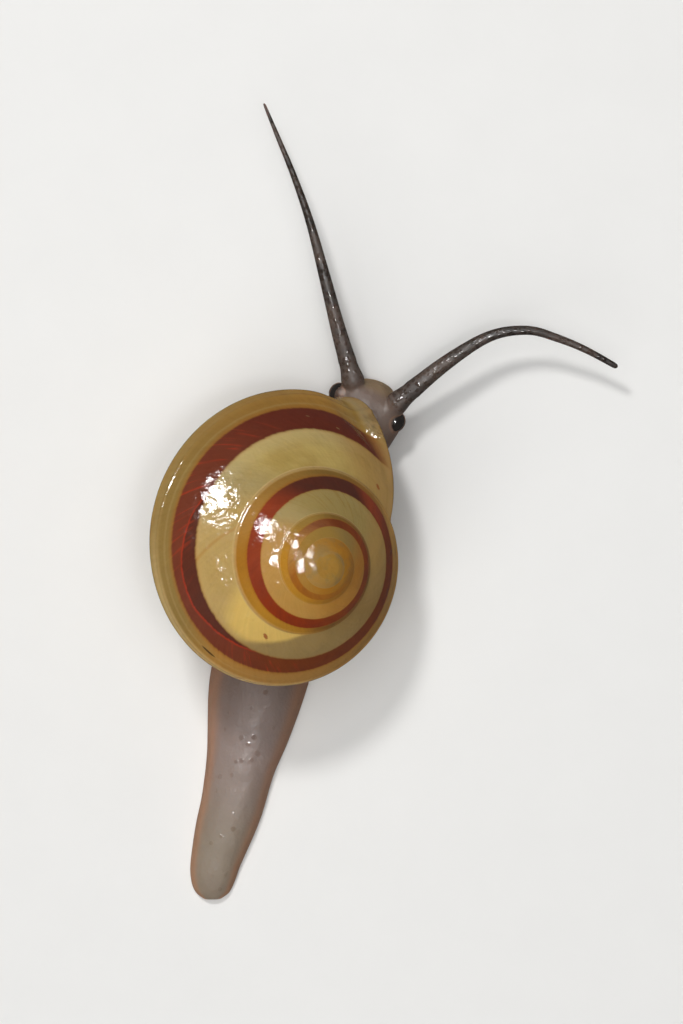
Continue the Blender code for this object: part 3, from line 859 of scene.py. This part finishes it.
def make_wet_film():
    """The uneven film of slime and water on the snail: how far it stands up, and where it lies thick."""
    tree, start, end = new_group("wet_film", ("Scale",), ("Height", "Thick"))
    place = on_object(tree)
    scale = start["Scale"]
    swell = noise_at(tree, place, times(tree, scale, 0.35), 2.0, 0.5)
    patchy = noise_at(tree, place, scale, 2.0, 0.5)
    fine = noise_at(tree, place, times(tree, scale, 2.8), 3.0, 0.55)
    height = plus(tree, times(tree, swell, 1.8), patchy)
    height = calc(tree, "MULTIPLY_ADD", fine, between(tree, patchy, 0.4, 0.65, 0.08, 0.5), height)
    tree.links.new(height, end["Height"])
    tree.links.new(between(tree, swell, 0.42, 0.62), end["Thick"])
    return tree


def scattered(tree, place, start):
    """Scattered points: how far off the nearest one is, and whether it is of the share that counts."""
    cells = node(tree, "TexVoronoi", {"Vector": place, "Scale": start["Scale"]}).outputs
    return cells["Distance"], calc(tree, "LESS_THAN", cells["Color"], start["Share"])


def make_wet_dots():
    """Small drops standing on the wet skin: how far they stand up."""
    tree, start, end = new_group("wet_dots", ("Scale", "Size", "Share"), ("Height",))
    place = on_object(tree)
    distance, chosen = scattered(tree, place, start)
    away = calc(tree, "DIVIDE", distance, start["Size"])
    dome = calc(tree, "MAXIMUM", less(tree, 1.0, times(tree, away, away)), 0.0)
    tree.links.new(times(tree, dome, chosen), end["Height"])
    return tree


def make_specks():
    """A mask of sparse dark specks of dirt."""
    tree, start, end = new_group("specks", ("Scale", "Size", "Share"), ("Mask",))
    place = on_object(tree)
    distance, chosen = scattered(tree, place, start)
    ragged = noise_at(tree, place, times(tree, start["Scale"], 4.0), 2.0, 0.6)
    distance = plus(tree, distance, times(tree, ragged, 0.12))
    dot = falling(tree, distance, times(tree, start["Size"], 0.7), start["Size"])
    tree.links.new(times(tree, dot, chosen), end["Mask"])
    return tree


def make_skin_grain():
    """The close grain of wet skin and the soft mottling in it."""
    tree, start, end = new_group("skin_grain", ("Scale",), ("Grain", "Mottle"))
    place = on_object(tree)
    scale = start["Scale"]
    cells = node(tree, "TexVoronoi", {"Vector": place, "Scale": scale}, feature="SMOOTH_F1")
    soft = noise_at(tree, place, times(tree, scale, 0.45), 4.0, 0.6)
    mottle = noise_at(tree, place, times(tree, scale, 0.11), 4.0, 0.65)
    tree.links.new(plus(tree, cells.outputs["Distance"], times(tree, soft, 0.8)), end["Grain"])
    tree.links.new(mottle, end["Mottle"])
    return tree


def placed(tree, group, **inputs):
    """A node group set in a material with its own values."""
    made = tree.nodes.new("ShaderNodeGroup")
    made.node_tree = group
    for name, value in inputs.items():
        plug(tree, made.inputs[name], value)
    return made.outputs


GROWTH_LINES = make_growth_lines()
WET_FILM = make_wet_film()
SPECKS = make_specks()
WET_DOTS = make_wet_dots()
SKIN_GRAIN = make_skin_grain()


def new_finish(name, **settings):
    """A material with one Principled shader that has these plain values."""
    material = bpy.data.materials.new(name)
    material.use_nodes = True
    tree = material.node_tree
    shader = tree.nodes["Principled BSDF"]
    for socket, value in settings.items():
        shader.inputs[socket.replace("_", " ")].default_value = value
    return material, tree, shader


def raised(tree, shader, height, distance, strength):
    """Raises the surface by a height, without moving it."""
    bump = node(tree, "Bump", {"Height": height, "Distance": distance, "Strength": strength})
    tree.links.new(bump.outputs["Normal"], shader.inputs["Normal"])


def feed(tree, shader, **sockets):
    """Links these sockets of the shader to what they follow."""
    for name, value in sockets.items():
        tree.links.new(value, shader.inputs[name.replace("_", " ")])


# Colours of the shell: the strip outside the band, the ground inside it, and the band.
PALE_OLIVE = paint(170, 144, 84)
LIGHT_OCHRE = paint(170, 124, 54)
OCHRE = paint(156, 116, 54)
OLIVE_TAN = paint(148, 120, 66)
SAND = paint(178, 130, 64)
BRONZE = paint(150, 106, 44)
OLIVE_BROWN = paint(136, 102, 44)
DARK_GOLD = paint(174, 116, 34)
GOLD = paint(186, 131, 40)
RUSSET = paint(134, 90, 36)
KHAKI = paint(162, 128, 62)
BUFF_EDGE = paint(178, 142, 86)
WARM_BUFF = paint(180, 144, 82)
GREEN_CREAM = paint(196, 169, 100)
PALE_GREY = paint(196, 178, 136)
GREY_CREAM = paint(176, 154, 102)
WARM_CREAM = paint(190, 158, 96)
GREY_GREEN = paint(158, 131, 82)
DUN = paint(166, 134, 80)
DARK_DUN = paint(156, 122, 70)
GREY_OLIVE = paint(165, 143, 86)
PINK_BUFF = paint(191, 147, 84)
HONEY = paint(190, 143, 72)
DEEP_HONEY = paint(186, 130, 56)
TAN = paint(174, 118, 48)
YELLOW_CREAM = paint(220, 184, 102)
TAWNY = paint(148, 92, 56)
GLASSY_GREY = paint(158, 138, 104)
DEEP_OLIVE = paint(146, 116, 50)
MAROON = paint(104, 45, 29)
RED_MAROON = paint(120, 60, 40)
UMBER = paint(124, 60, 24)
DARK_MAROON = paint(86, 46, 34)
CHESTNUT = paint(150, 66, 34)
RUST = paint(150, 64, 36)
RED_RUST = paint(146, 55, 20)
COPPER = paint(144, 68, 20)
ORANGE_BROWN = paint(164, 98, 28)
# The bright red of the line that parts the band, also used for the painted highlight on the band's growth
# lines.
RED = paint(176, 58, 34)
PALE_THREAD = paint(206, 176, 118)
DIRT = paint(40, 26, 16)

WHORL_REACH = 4.2  # turns that the colour runs below span
# Turns before the lip and the colour there: outside the band, in the band and inside it.
STRIP_RUN = (
    (0.0, PALE_OLIVE), (0.05, LIGHT_OCHRE), (0.12, OCHRE), (0.28, OLIVE_TAN), (0.42, OLIVE_TAN), (0.50, SAND),
    (0.62, SAND), (0.75, LIGHT_OCHRE), (0.90, HONEY), (0.97, BRONZE), (1.05, OLIVE_BROWN), (1.15, OCHRE),
    (1.25, SAND), (1.35, DARK_GOLD), (1.47, GOLD), (1.57, GOLD), (1.64, RUSSET), (1.95, RUSSET),
    (2.05, OLIVE_BROWN), (2.15, KHAKI), (2.30, GOLD), (2.50, GOLD), (2.70, DARK_GOLD), (2.95, DARK_GOLD),
    (3.30, DUN), (4.2, DUN),
)
BAND_RUN = (
    (0.0, TAWNY), (0.03, MAROON), (0.12, MAROON), (0.25, RED_MAROON), (0.50, RED_MAROON), (0.62, UMBER),
    (0.90, UMBER), (0.96, CHESTNUT), (0.98, CHESTNUT), (1.02, DARK_MAROON), (1.14, DARK_MAROON), (1.23, RUST),
    (1.35, RUST), (1.45, RED_RUST), (1.58, RED_RUST), (1.72, COPPER), (1.95, COPPER), (2.06, UMBER),
    (2.16, TAWNY), (2.30, HONEY), (2.45, ORANGE_BROWN), (2.70, ORANGE_BROWN), (2.95, DARK_GOLD), (3.3, DUN),
    (4.2, DUN),
)
INNER_RUN = (
    (0.0, BUFF_EDGE), (0.06, WARM_BUFF), (0.13, GREEN_CREAM), (0.22, GREEN_CREAM), (0.28, GREY_CREAM),
    (0.35, WARM_CREAM), (0.50, WARM_CREAM), (0.62, GREY_GREEN), (0.70, DUN), (0.80, DARK_DUN), (0.88, DUN),
    (0.95, WARM_BUFF), (1.05, GREY_OLIVE), (1.18, GREY_OLIVE), (1.25, GREY_CREAM), (1.33, PINK_BUFF),
    (1.45, HONEY), (1.60, HONEY), (1.75, DEEP_HONEY), (1.90, TAN), (2.05, OLIVE_TAN), (2.15, KHAKI),
    (2.50, LIGHT_OCHRE), (2.70, DARK_GOLD), (3.0, DARK_GOLD), (3.3, DUN), (4.2, KHAKI),
)
# How pale the keel and the suture threads are, at turns before the lip: the threads are pale in their own
# right, and their stronger stretches are painted highlight.
RIM_THREAD_AND_PAINTED_HIGHLIGHT = (
    (0.0, 0.05), (0.30, 0.12), (0.42, 0.50), (0.60, 0.50), (0.68, 0.08), (0.95, 0.15), (1.08, 0.5),
    (1.30, 0.5), (1.50, 0.3), (1.70, 0.08), (2.10, 0.25), (2.60, 0.1), (4.2, 0.05),
)
# The band's inner and outer edge, in shares of the way across the whorl.
BAND_INNER = (
    (0.0, 0.38), (0.05, 0.40), (0.12, 0.42), (0.50, 0.42), (0.75, 0.41), (0.88, 0.44), (0.96, 0.50),
    (1.10, 0.47), (1.25, 0.41), (1.37, 0.385), (1.50, 0.41), (1.65, 0.44), (1.85, 0.50), (2.0, 0.47),
    (2.1, 0.42), (2.3, 0.34), (2.6, 0.34), (4.2, 0.34),
)
BAND_OUTER = (
    (0.0, 0.66), (0.05, 0.74), (0.10, 0.77), (0.20, 0.76), (0.35, 0.735), (0.50, 0.71), (0.62, 0.68),
    (0.80, 0.68), (0.90, 0.74), (0.97, 0.82), (1.10, 0.76), (1.20, 0.72), (1.35, 0.685), (1.50, 0.71),
    (1.62, 0.77), (1.85, 0.84), (2.0, 0.79), (2.1, 0.72), (2.3, 0.63), (2.6, 0.66), (4.2, 0.66),
)
# How softly the band's fringe and its body begin before and after the inner edge, and end before
# and after the outer one.
BAND_FRINGE = (0.035, 0.02, 0.02, 0.06)
BAND_BODY = (0.012, 0.018, 0.025, 0.012)
# The line that parts the band in two for part of the last whorl.
PARTING = (
    (0.0, 0.30), (0.27, 0.40), (0.31, 0.50), (0.35, 0.57), (0.40, 0.61), (0.46, 0.56), (0.51, 0.49),
    (0.56, 0.42), (0.62, 0.30), (4.2, 0.30),
)
# The underside, from the keel to the axis.
BELOW_RUN = ((0.0, OLIVE_TAN), (0.2, GREEN_CREAM), (0.6, WARM_CREAM), (0.85, GREY_CREAM), (1.0, HONEY))
# Marks on the shell: turns before the lip, share across, half length, half width, colour, strength.
MARKS = (
    (0.478, 0.838, 0.012, 0.018, DIRT, 0.8),
    (0.585, 0.165, 0.005, 0.035, RUST, 0.8),
    (0.043, 0.10, 0.004, 0.02, RUST, 0.7),
    (0.075, 0.50, 0.002, 0.015, PALE_THREAD, 0.2),
    (0.100, 0.62, 0.002, 0.015, PALE_THREAD, 0.15),
)


def shell_map(tree):
    """What the shell's colours follow, each the output of a node."""
    growth = node(tree, "UVMap", uv_map="growth").outputs["UV"]
    split = node(tree, "SeparateXYZ", {"Vector": growth})
    turns, across = split.outputs["X"], split.outputs["Y"]
    lines = placed(tree, GROWTH_LINES, Growth=turns, Across=across, Fineness=170.0)
    coarse = placed(tree, GROWTH_LINES, Growth=turns, Across=across, Fineness=60.0)
    wave = swing(tree, noise_at(tree, spread(tree, turns, across, 9.0, 3.0), 1.0, 3.0), 0.02, 0.0)
    return SimpleNamespace(
        turns=turns,  # before the lip
        across=across,  # 0 at the suture, 1 at the keel, 2 at the axis
        wave=wave,
        frayed=swing(tree, lines["Fine"], 0.03, plus(tree, across, wave)),  # across, wavering and frayed
        fine=lines["Fine"],
        broad=lines["Broad"],
        striped=between(tree, coarse["Broad"], 0.40, 0.64),
        scratch=noise_at(tree, spread(tree, turns, across, 4.0, 160.0), 1.0, 2.0, 0.6),  # along the whorl
        # the threads' paleness, partly painted highlight
        thread_and_painted_highlight=curve(tree, turns, RIM_THREAD_AND_PAINTED_HIGHLIGHT, WHORL_REACH),
    )


def inner_ground(tree, at):
    """The ground between the suture and the band, with its stripes, its patches and an old lip."""
    turns, across = at.turns, at.across
    colour = ramp(tree, turns, INNER_RUN, WHORL_REACH)
    near_band = times(tree, between(tree, across, 0.16, 0.36), between(tree, turns, 0.04, 0.12))
    greyed = times(tree, near_band, between(tree, turns, 0.30, 0.38, 0.3, 0.0))
    colour = mixed(tree, greyed, colour, PALE_GREY)
    by_suture = times(tree, at.striped, between(tree, across, 0.42, 0.18))
    blotched = times(tree, by_suture, between(tree, turns, 0.40, 0.26, 0.12, 0.42))
    colour = mixed(tree, blotched, colour, DEEP_OLIVE)
    grooved = times(tree, between(tree, at.fine, 0.48, 0.66), near(tree, turns, 1.1, 0.22), 0.45)
    colour = mixed(tree, grooved, colour, OLIVE_BROWN)
    slant = plus(tree, calc(tree, "MULTIPLY_ADD", across, 0.39, turns), times(tree, at.wave, 0.8))
    behind = times(tree, between(tree, turns, 0.90, 0.64, 0.0, 1.0), between(tree, turns, 0.4, 0.5))
    colour = mixed(tree, times(tree, between(tree, slant, 0.675, 0.70), behind), colour, GREY_GREEN)
    before = times(tree, falling(tree, slant, 0.665, 0.69), between(tree, turns, 0.47, 0.52))
    colour = mixed(tree, times(tree, before, falling(tree, across, 0.28, 0.42)), colour, YELLOW_CREAM)
    old_lip = near(tree, calc(tree, "MULTIPLY_ADD", across, -0.03, turns), 0.375, 0.006)
    return mixed(tree, times(tree, old_lip, 0.4), colour, TAN)


def outer_strip(tree, at):
    """The ground between the band and the keel, with a pale line in it and a pale thread up the keel, painted
    paler as highlight in stretches.
    """
    colour = ramp(tree, at.turns, STRIP_RUN, WHORL_REACH)
    colour = mixed(tree, times(tree, at.striped, 0.15), colour, OLIVE_BROWN)
    line = times(tree, near(tree, at.frayed, 0.835, 0.03), falling(tree, at.turns, 0.45, 0.62), 0.14)
    colour = mixed(tree, line, colour, PALE_THREAD)
    # The keel thread in pale colour, its stronger stretches painted highlight.
    shine = times(tree, between(tree, at.across, 0.90, 0.965), at.thread_and_painted_highlight)
    return mixed(tree, shine, colour, PALE_THREAD)


def within_band(tree, at, low, high, softness):
    """A mask of the band between its low and high edge, which are this soft."""
    outside_low, inside_low, inside_high, outside_high = softness
    begun = between(tree, at.frayed, less(tree, low, outside_low), plus(tree, low, inside_low))
    ended = falling(tree, at.frayed, less(tree, high, inside_high), plus(tree, high, outside_high))
    return times(tree, begun, ended)


def banded(tree, at, ground):
    """The ground with the band over it: a brown fringe, then the band, parted by a bright line, and streaked
    with painted highlight on its growth lines.
    """
    turns = at.turns
    low = curve(tree, turns, BAND_INNER, WHORL_REACH)
    high = curve(tree, turns, BAND_OUTER, WHORL_REACH)
    colour = ramp(tree, turns, BAND_RUN, WHORL_REACH)
    parting = curve(tree, turns, PARTING, WHORL_REACH)
    dark_side = falling(tree, less(tree, at.frayed, parting), -0.01, 0.01)
    colour = mixed(tree, times(tree, dark_side, 0.8), colour, DARK_MAROON)
    bright_line = times(tree, near(tree, at.frayed, parting, 0.02), between(tree, turns, 0.7, 0.62))
    # Painted highlight: on the band's lit stretches, growth lines are painted bright red, as if catching the
    # light.
    painted_glint_reach = calc(tree, "MAXIMUM", near(tree, turns, 0.27, 0.17), near(tree, turns, 0.57, 0.09))
    painted_glint_reach = times(tree, painted_glint_reach, between(tree, at.across, 0.45, 0.52), 0.8)
    painted_glints = times(tree, between(tree, at.fine, 0.54, 0.64), painted_glint_reach)
    parting_line_and_painted_glints = calc(tree, "MAXIMUM", bright_line, painted_glints)
    colour = mixed(tree, times(tree, parting_line_and_painted_glints, 0.85), colour, RED)
    colour = mixed(tree, times(tree, between(tree, at.broad, 0.35, 0.7), 0.3), colour, MAROON)
    edge = times(tree, near(tree, at.frayed, low, 0.05), between(tree, turns, 1.2, 1.0), 0.3)
    colour = mixed(tree, edge, colour, DARK_MAROON)
    present = times(tree, between(tree, turns, 0.0, 0.028), between(tree, turns, 2.35, 2.95, 1.0, 0.12))
    fringe = within_band(tree, at, low, high, BAND_FRINGE)
    ground = mixed(tree, times(tree, fringe, present, 0.55), ground, ORANGE_BROWN)
    return mixed(tree, times(tree, within_band(tree, at, low, high, BAND_BODY), present), ground, colour)


def clouded(tree, at, colour):
    """The cloudy gold and olive of the oldest whorls."""
    cloudy = noise_at(tree, on_object(tree), 1500.0, 3.0, 0.6)
    on_spire = between(tree, at.turns, 2.5, 3.0)
    colour = mixed(tree, times(tree, between(tree, cloudy, 0.38, 0.58), on_spire, 0.35), colour, GOLD)
    return mixed(tree, times(tree, between(tree, cloudy, 0.52, 0.42), on_spire, 0.3), colour, OLIVE_TAN)


def edged(tree, at, colour):
    """The threads at suture and keel with painted highlight along them, the underside, the border of the lip
    with painted shade in the groove behind it, and the wall inside it.
    """
    turns, across = at.turns, at.across
    # Suture and keel threads in pale colour, their stronger stretches painted highlight.
    suture = times(tree, falling(tree, across, 0.0, 0.014), at.thread_and_painted_highlight)
    bead = times(tree, between(tree, across, 0.965, 0.985), at.thread_and_painted_highlight)
    colour = mixed(tree, calc(tree, "MAXIMUM", suture, bead), colour, PALE_THREAD)
    below = ramp(tree, less(tree, across, 1.0), BELOW_RUN)
    below = mixed(tree, times(tree, at.striped, 0.45), below, TAN)
    colour = mixed(tree, between(tree, across, 1.02, 1.16), colour, below)
    glassy = times(tree, between(tree, turns, 0.012, 0.020, 0.6, 0.0), between(tree, across, 0.66, 0.74))
    colour = mixed(tree, glassy, colour, GLASSY_GREY)
    # Painted shade: the groove just behind the lip is darkened olive brown.
    painted_groove_shade = times(tree, near(tree, turns, 0.020, 0.005), between(tree, across, 0.6, 0.8, 0.15, 0.45))
    colour = mixed(tree, painted_groove_shade, colour, OLIVE_BROWN)
    colour = mixed(tree, times(tree, falling(tree, turns, 0.004, 0.012), 0.6), colour, BUFF_EDGE)
    return mixed(tree, between(tree, turns, -0.03, -0.1), colour, GREY_CREAM)


def worn(tree, at, colour):
    """The tone of fine growth lines and scratches, the marks, and specks of dirt."""
    tone = swing(tree, at.scratch, 0.16, swing(tree, at.fine, 0.22, 1.0))
    colour = node(tree, "HueSaturation", {"Color": colour, "Value": tone}).outputs["Color"]
    for mark_turns, mark_across, length, width, tint, strength in MARKS:
        along_whorl = calc(tree, "DIVIDE", less(tree, at.turns, mark_turns), length)
        over_whorl = calc(tree, "DIVIDE", less(tree, at.across, mark_across), width)
        spot = plus(tree, calc(tree, "POWER", along_whorl, 2.0), calc(tree, "POWER", over_whorl, 2.0))
        ragged = swing(tree, at.scratch, 3.0, spot)
        colour = mixed(tree, between(tree, ragged, 0.5, 1.3, strength, 0.0), colour, tint)
    specks = placed(tree, SPECKS, Scale=900.0, Size=0.17, Share=0.10)["Mask"]
    return mixed(tree, times(tree, specks, 0.75), colour, DIRT)


def shell_finish():
    """The banded, glazed shell, coloured by turns before the lip and share of the way across the whorl."""
    material, tree, shader = new_finish(
        "banded_shell", IOR=1.45, Specular_IOR_Level=0.6,
        Subsurface_Weight=0.18, Subsurface_Scale=0.5 * MM, Subsurface_Radius=(1.0, 0.5, 0.2),
    )
    at = shell_map(tree)
    outside = between(tree, at.across, 0.5, 0.65)
    ground = mixed(tree, outside, inner_ground(tree, at), outer_strip(tree, at))
    colour = clouded(tree, at, banded(tree, at, ground))
    colour = worn(tree, at, edged(tree, at, colour))

    film = placed(tree, WET_FILM, Scale=1400.0)
    beads = placed(tree, WET_DOTS, Scale=1700.0, Size=0.22, Share=0.12)["Height"]
    ridges = plus(tree, times(tree, at.fine, 0.14), times(tree, at.scratch, 0.05))
    on_lip = times(tree, falling(tree, at.turns, 0.0, 0.026), near(tree, at.across, 0.78, 0.2))
    wet = times(tree, film["Height"], between(tree, on_lip, 0.0, 0.6, 1.0, 6.5))
    height = plus(tree, ridges, calc(tree, "MULTIPLY_ADD", beads, 0.5, wet))
    raised(tree, shader, height, 0.05 * MM, 0.85)
    roughness = between(tree, film["Thick"], 0.0, 1.0, 0.14, 0.06)
    feed(tree, shader, Base_Color=colour, Roughness=roughness)
    return material


# Colours of the flesh, the eyes and the operculum's horn.
LILAC_GREY = paint(147, 129, 121)
PALE_LILAC = paint(144, 129, 111)
WARM_EDGE = paint(180, 128, 92)
VIOLET_BROWN = paint(126, 106, 94)
HEAD_TAN = paint(146, 122, 92)
FEELER_ROOT = paint(70, 60, 54)
FEELER_TIP = paint(36, 30, 26)
# The grey brown of the painted shadow that the shell casts on the body, also used for the dark of the
# mottling.
MOTTLE_AND_PAINTED_SHADOW = paint(108, 88, 78)
NEARLY_BLACK = paint(22, 20, 22)
EYE_DARK = paint(36, 33, 31)
EYE_BROWN = paint(52, 47, 43)
HORN_MIDDLE = paint(96, 66, 34)
HORN_EDGE = paint(168, 128, 74)
HORN_LINES = paint(128, 90, 48)

# Along the body from the tail's tip, and along a feeler from its root. The darker stretch of the body next to
# and under the shell is painted shadow of the shell.
BODY_RUN = (
    (0.0, PALE_LILAC), (0.16, PALE_LILAC), (0.34, LILAC_GREY), (0.46, MOTTLE_AND_PAINTED_SHADOW), (0.68, MOTTLE_AND_PAINTED_SHADOW),
    (0.78, VIOLET_BROWN), (0.86, VIOLET_BROWN), (0.93, HEAD_TAN), (1.0, HEAD_TAN),
)
FEELER_RUN = ((0.0, FEELER_ROOT), (0.25, FEELER_ROOT), (0.6, FEELER_TIP), (1.0, FEELER_TIP))


def flesh_finish():
    """Wet, slightly see-through skin: pale lilac tail, browner head, dark feelers, warm thin edges, and a
    painted shadow of the shell darkening the body next to it.
    """
    material, tree, shader = new_finish(
        "snail_skin", IOR=1.4, Specular_IOR_Level=0.5,
        Subsurface_Weight=0.45, Subsurface_Scale=0.6 * MM, Subsurface_Radius=(1.0, 0.6, 0.45),
    )
    along_body, rim, feeler, eye = (
        node(tree, "Attribute", attribute_name=name).outputs["Fac"]
        for name in ("along", "rim", "feeler", "eye")
    )
    grain = placed(tree, SKIN_GRAIN, Scale=6500.0)
    film = placed(tree, WET_FILM, Scale=2200.0)
    on_feeler = between(tree, feeler, 0.0, 0.10)

    # The body: painted shadow of the shell over its middle, mottled, streaked lengthwise and warm at its thin
    # edge.
    body = ramp(tree, along_body, BODY_RUN)
    mottle = between(tree, grain["Mottle"], 0.38, 0.66)
    body = mixed(tree, times(tree, mottle, 0.12), body, MOTTLE_AND_PAINTED_SHADOW)
    place = on_object(tree)
    stretch = node(tree, "Mapping", {"Vector": place, "Scale": (1.0, 0.12, 1.0)}).outputs["Vector"]
    streak = between(tree, noise_at(tree, stretch, 2600.0, 3.0), 0.5, 0.72)
    body = mixed(tree, times(tree, streak, 0.07), body, PALE_LILAC)
    body = mixed(tree, times(tree, between(tree, rim, 0.0, 1.0), 0.62), body, WARM_EDGE)

    # The dark feelers, and the skin round the eyes.
    horn = ramp(tree, feeler, FEELER_RUN)
    fleck = between(tree, grain["Mottle"], 0.35, 0.6)
    horn = mixed(tree, times(tree, fleck, 0.3), horn, VIOLET_BROWN)
    colour = mixed(tree, on_feeler, body, horn)
    colour = mixed(tree, times(tree, between(tree, eye, 0.15, 0.5), 0.28), colour, WARM_EDGE)
    colour = mixed(tree, times(tree, between(tree, eye, 0.75, 1.0), 0.6), colour, NEARLY_BLACK)

    # Drops: few and large on the back, many and small on the feelers.
    on_back = times(tree, falling(tree, rim, 0.0, 0.1), falling(tree, along_body, 0.45, 0.5))
    few = placed(tree, WET_DOTS, Scale=2600.0, Size=0.48, Share=0.30)["Height"]
    few = times(tree, few, on_back)
    many = placed(tree, WET_DOTS, Scale=4400.0, Size=0.5, Share=0.85)["Height"]
    drops = calc(tree, "MAXIMUM", few, times(tree, many, on_feeler))
    granular = between(tree, on_feeler, 0.0, 1.0, 0.3, 0.7)
    height = plus(tree, times(tree, grain["Grain"], granular), times(tree, film["Height"], 0.7))
    raised(tree, shader, calc(tree, "MULTIPLY_ADD", drops, 0.5, height), 0.03 * MM, 0.9)

    # Gloss: a dull film, but bright drops.
    dull = between(tree, film["Thick"], 0.0, 1.0, 0.62, 0.50)
    bright = times(tree, between(tree, many, 0.0, 0.25), on_feeler)
    bright = calc(tree, "MAXIMUM", between(tree, few, 0.1, 0.7), bright)
    roughness = times(tree, dull, between(tree, bright, 0.0, 1.0, 1.0, 0.15))
    feed(tree, shader, Base_Color=colour, Roughness=roughness)
    return material


def eye_finish():
    """Dark, wet and deep, a little browner in its depths."""
    material, tree, shader = new_finish("eye_dark", Roughness=0.16, Specular_IOR_Level=0.5)
    film = placed(tree, WET_FILM, Scale=1800.0)
    colour = mixed(tree, film["Thick"], EYE_DARK, EYE_BROWN)
    raised(tree, shader, film["Height"], 0.004 * MM, 0.3)
    feed(tree, shader, Base_Color=colour)
    return material


def operculum_finish():
    """Horny plate in rings of growth, darker at its middle."""
    material, tree, shader = new_finish("operculum_horn", Coat_Weight=0.4, Coat_Roughness=0.15)
    place = on_object(tree)
    shift = node(tree, "Mapping", {"Vector": place, "Location": tuple(-OPERCULUM_MIDDLE)}).outputs["Vector"]
    away = node(tree, "VectorMath", {0: shift}, operation="LENGTH").outputs["Value"]
    share = calc(tree, "DIVIDE", away, OPERCULUM_HALF[1])
    split = node(tree, "SeparateXYZ", {"Vector": shift})
    lines = placed(tree, GROWTH_LINES, Growth=share, Across=split.outputs["Y"], Fineness=60.0)
    colour = mixed(tree, share, HORN_MIDDLE, HORN_EDGE)
    colour = mixed(tree, between(tree, lines["Fine"], 0.35, 0.65), colour, HORN_LINES)
    raised(tree, shader, lines["Fine"], 0.03 * MM, 0.7)
    feed(tree, shader, Base_Color=colour, Roughness=between(tree, lines["Broad"], 0.3, 0.7, 0.3, 0.5))
    return material


# --- Floor, light and camera ----------------------------------------------------------------------
FLOOR_DARK = paint(230, 229, 226)
FLOOR_LIGHT = paint(234, 233, 230)
ROOM_GREY = paint(226, 228, 232)


def build_floor():
    bm = bmesh.new()
    bmesh.ops.create_grid(bm, x_segments=2, y_segments=2, size=FLOOR_HALF)
    mesh = bpy.data.meshes.new("floor")
    bm.to_mesh(mesh)
    bm.free()
    floor = bpy.data.objects.new("floor", mesh)
    bpy.context.scene.collection.objects.link(floor)
    material, tree, shader = new_finish("pale_floor", Roughness=0.6)
    place = on_object(tree)
    tone = noise_at(tree, place, 300.0, 3.0)
    feed(tree, shader, Base_Color=mixed(tree, tone, FLOOR_DARK, FLOOR_LIGHT))
    mesh.materials.append(material)
    floor.visible_glossy = False


def soft_light(name, place, size, power, gleams, aim):
    """A round soft light; one that gleams is seen only in wet skin and glaze, the others never there."""
    data = bpy.data.lights.new(name, "AREA")
    data.shape = "DISK"
    data.size = size
    data.energy = power
    light = bpy.data.objects.new(name, data)
    light.location = aim + Vector(place)
    light.rotation_euler = (light.location - aim).to_track_quat("Z", "Y").to_euler()
    light.visible_glossy = gleams
    light.visible_diffuse = not gleams
    bpy.context.scene.collection.objects.link(light)


def build_lights(aim):
    for light in LIGHTS:
        soft_light(*light, aim)
    bpy.context.scene.view_settings.view_transform = "Standard"
    world = bpy.data.worlds.new("studio")
    world.use_nodes = True
    room = world.node_tree.nodes["Background"].inputs
    room["Color"].default_value = ROOM_GREY
    room["Strength"].default_value = ROOM_GLOW
    bpy.context.scene.world = world


def build_camera():
    data = bpy.data.cameras.new("camera")
    data.lens = LENS
    data.clip_start = NEAREST
    data.clip_end = FARTHEST
    distance = VIEW_HEIGHT * LENS / data.sensor_width
    camera = bpy.data.objects.new("camera", data)
    camera.location = VIEW_MIDDLE + UP * distance
    camera.rotation_euler = (0.0, 0.0, math.pi)
    bpy.context.scene.collection.objects.link(camera)
    bpy.context.scene.camera = camera


def main():
    build_camera()
    build_lights((Vector(cad_low) + Vector(cad_high)) / 2)
    build_floor()
    build_shell()
    build_flesh()
    build_operculum()
    for name, side in (("left", -1), ("right", 1)):
        build_eye(name, side)


main()
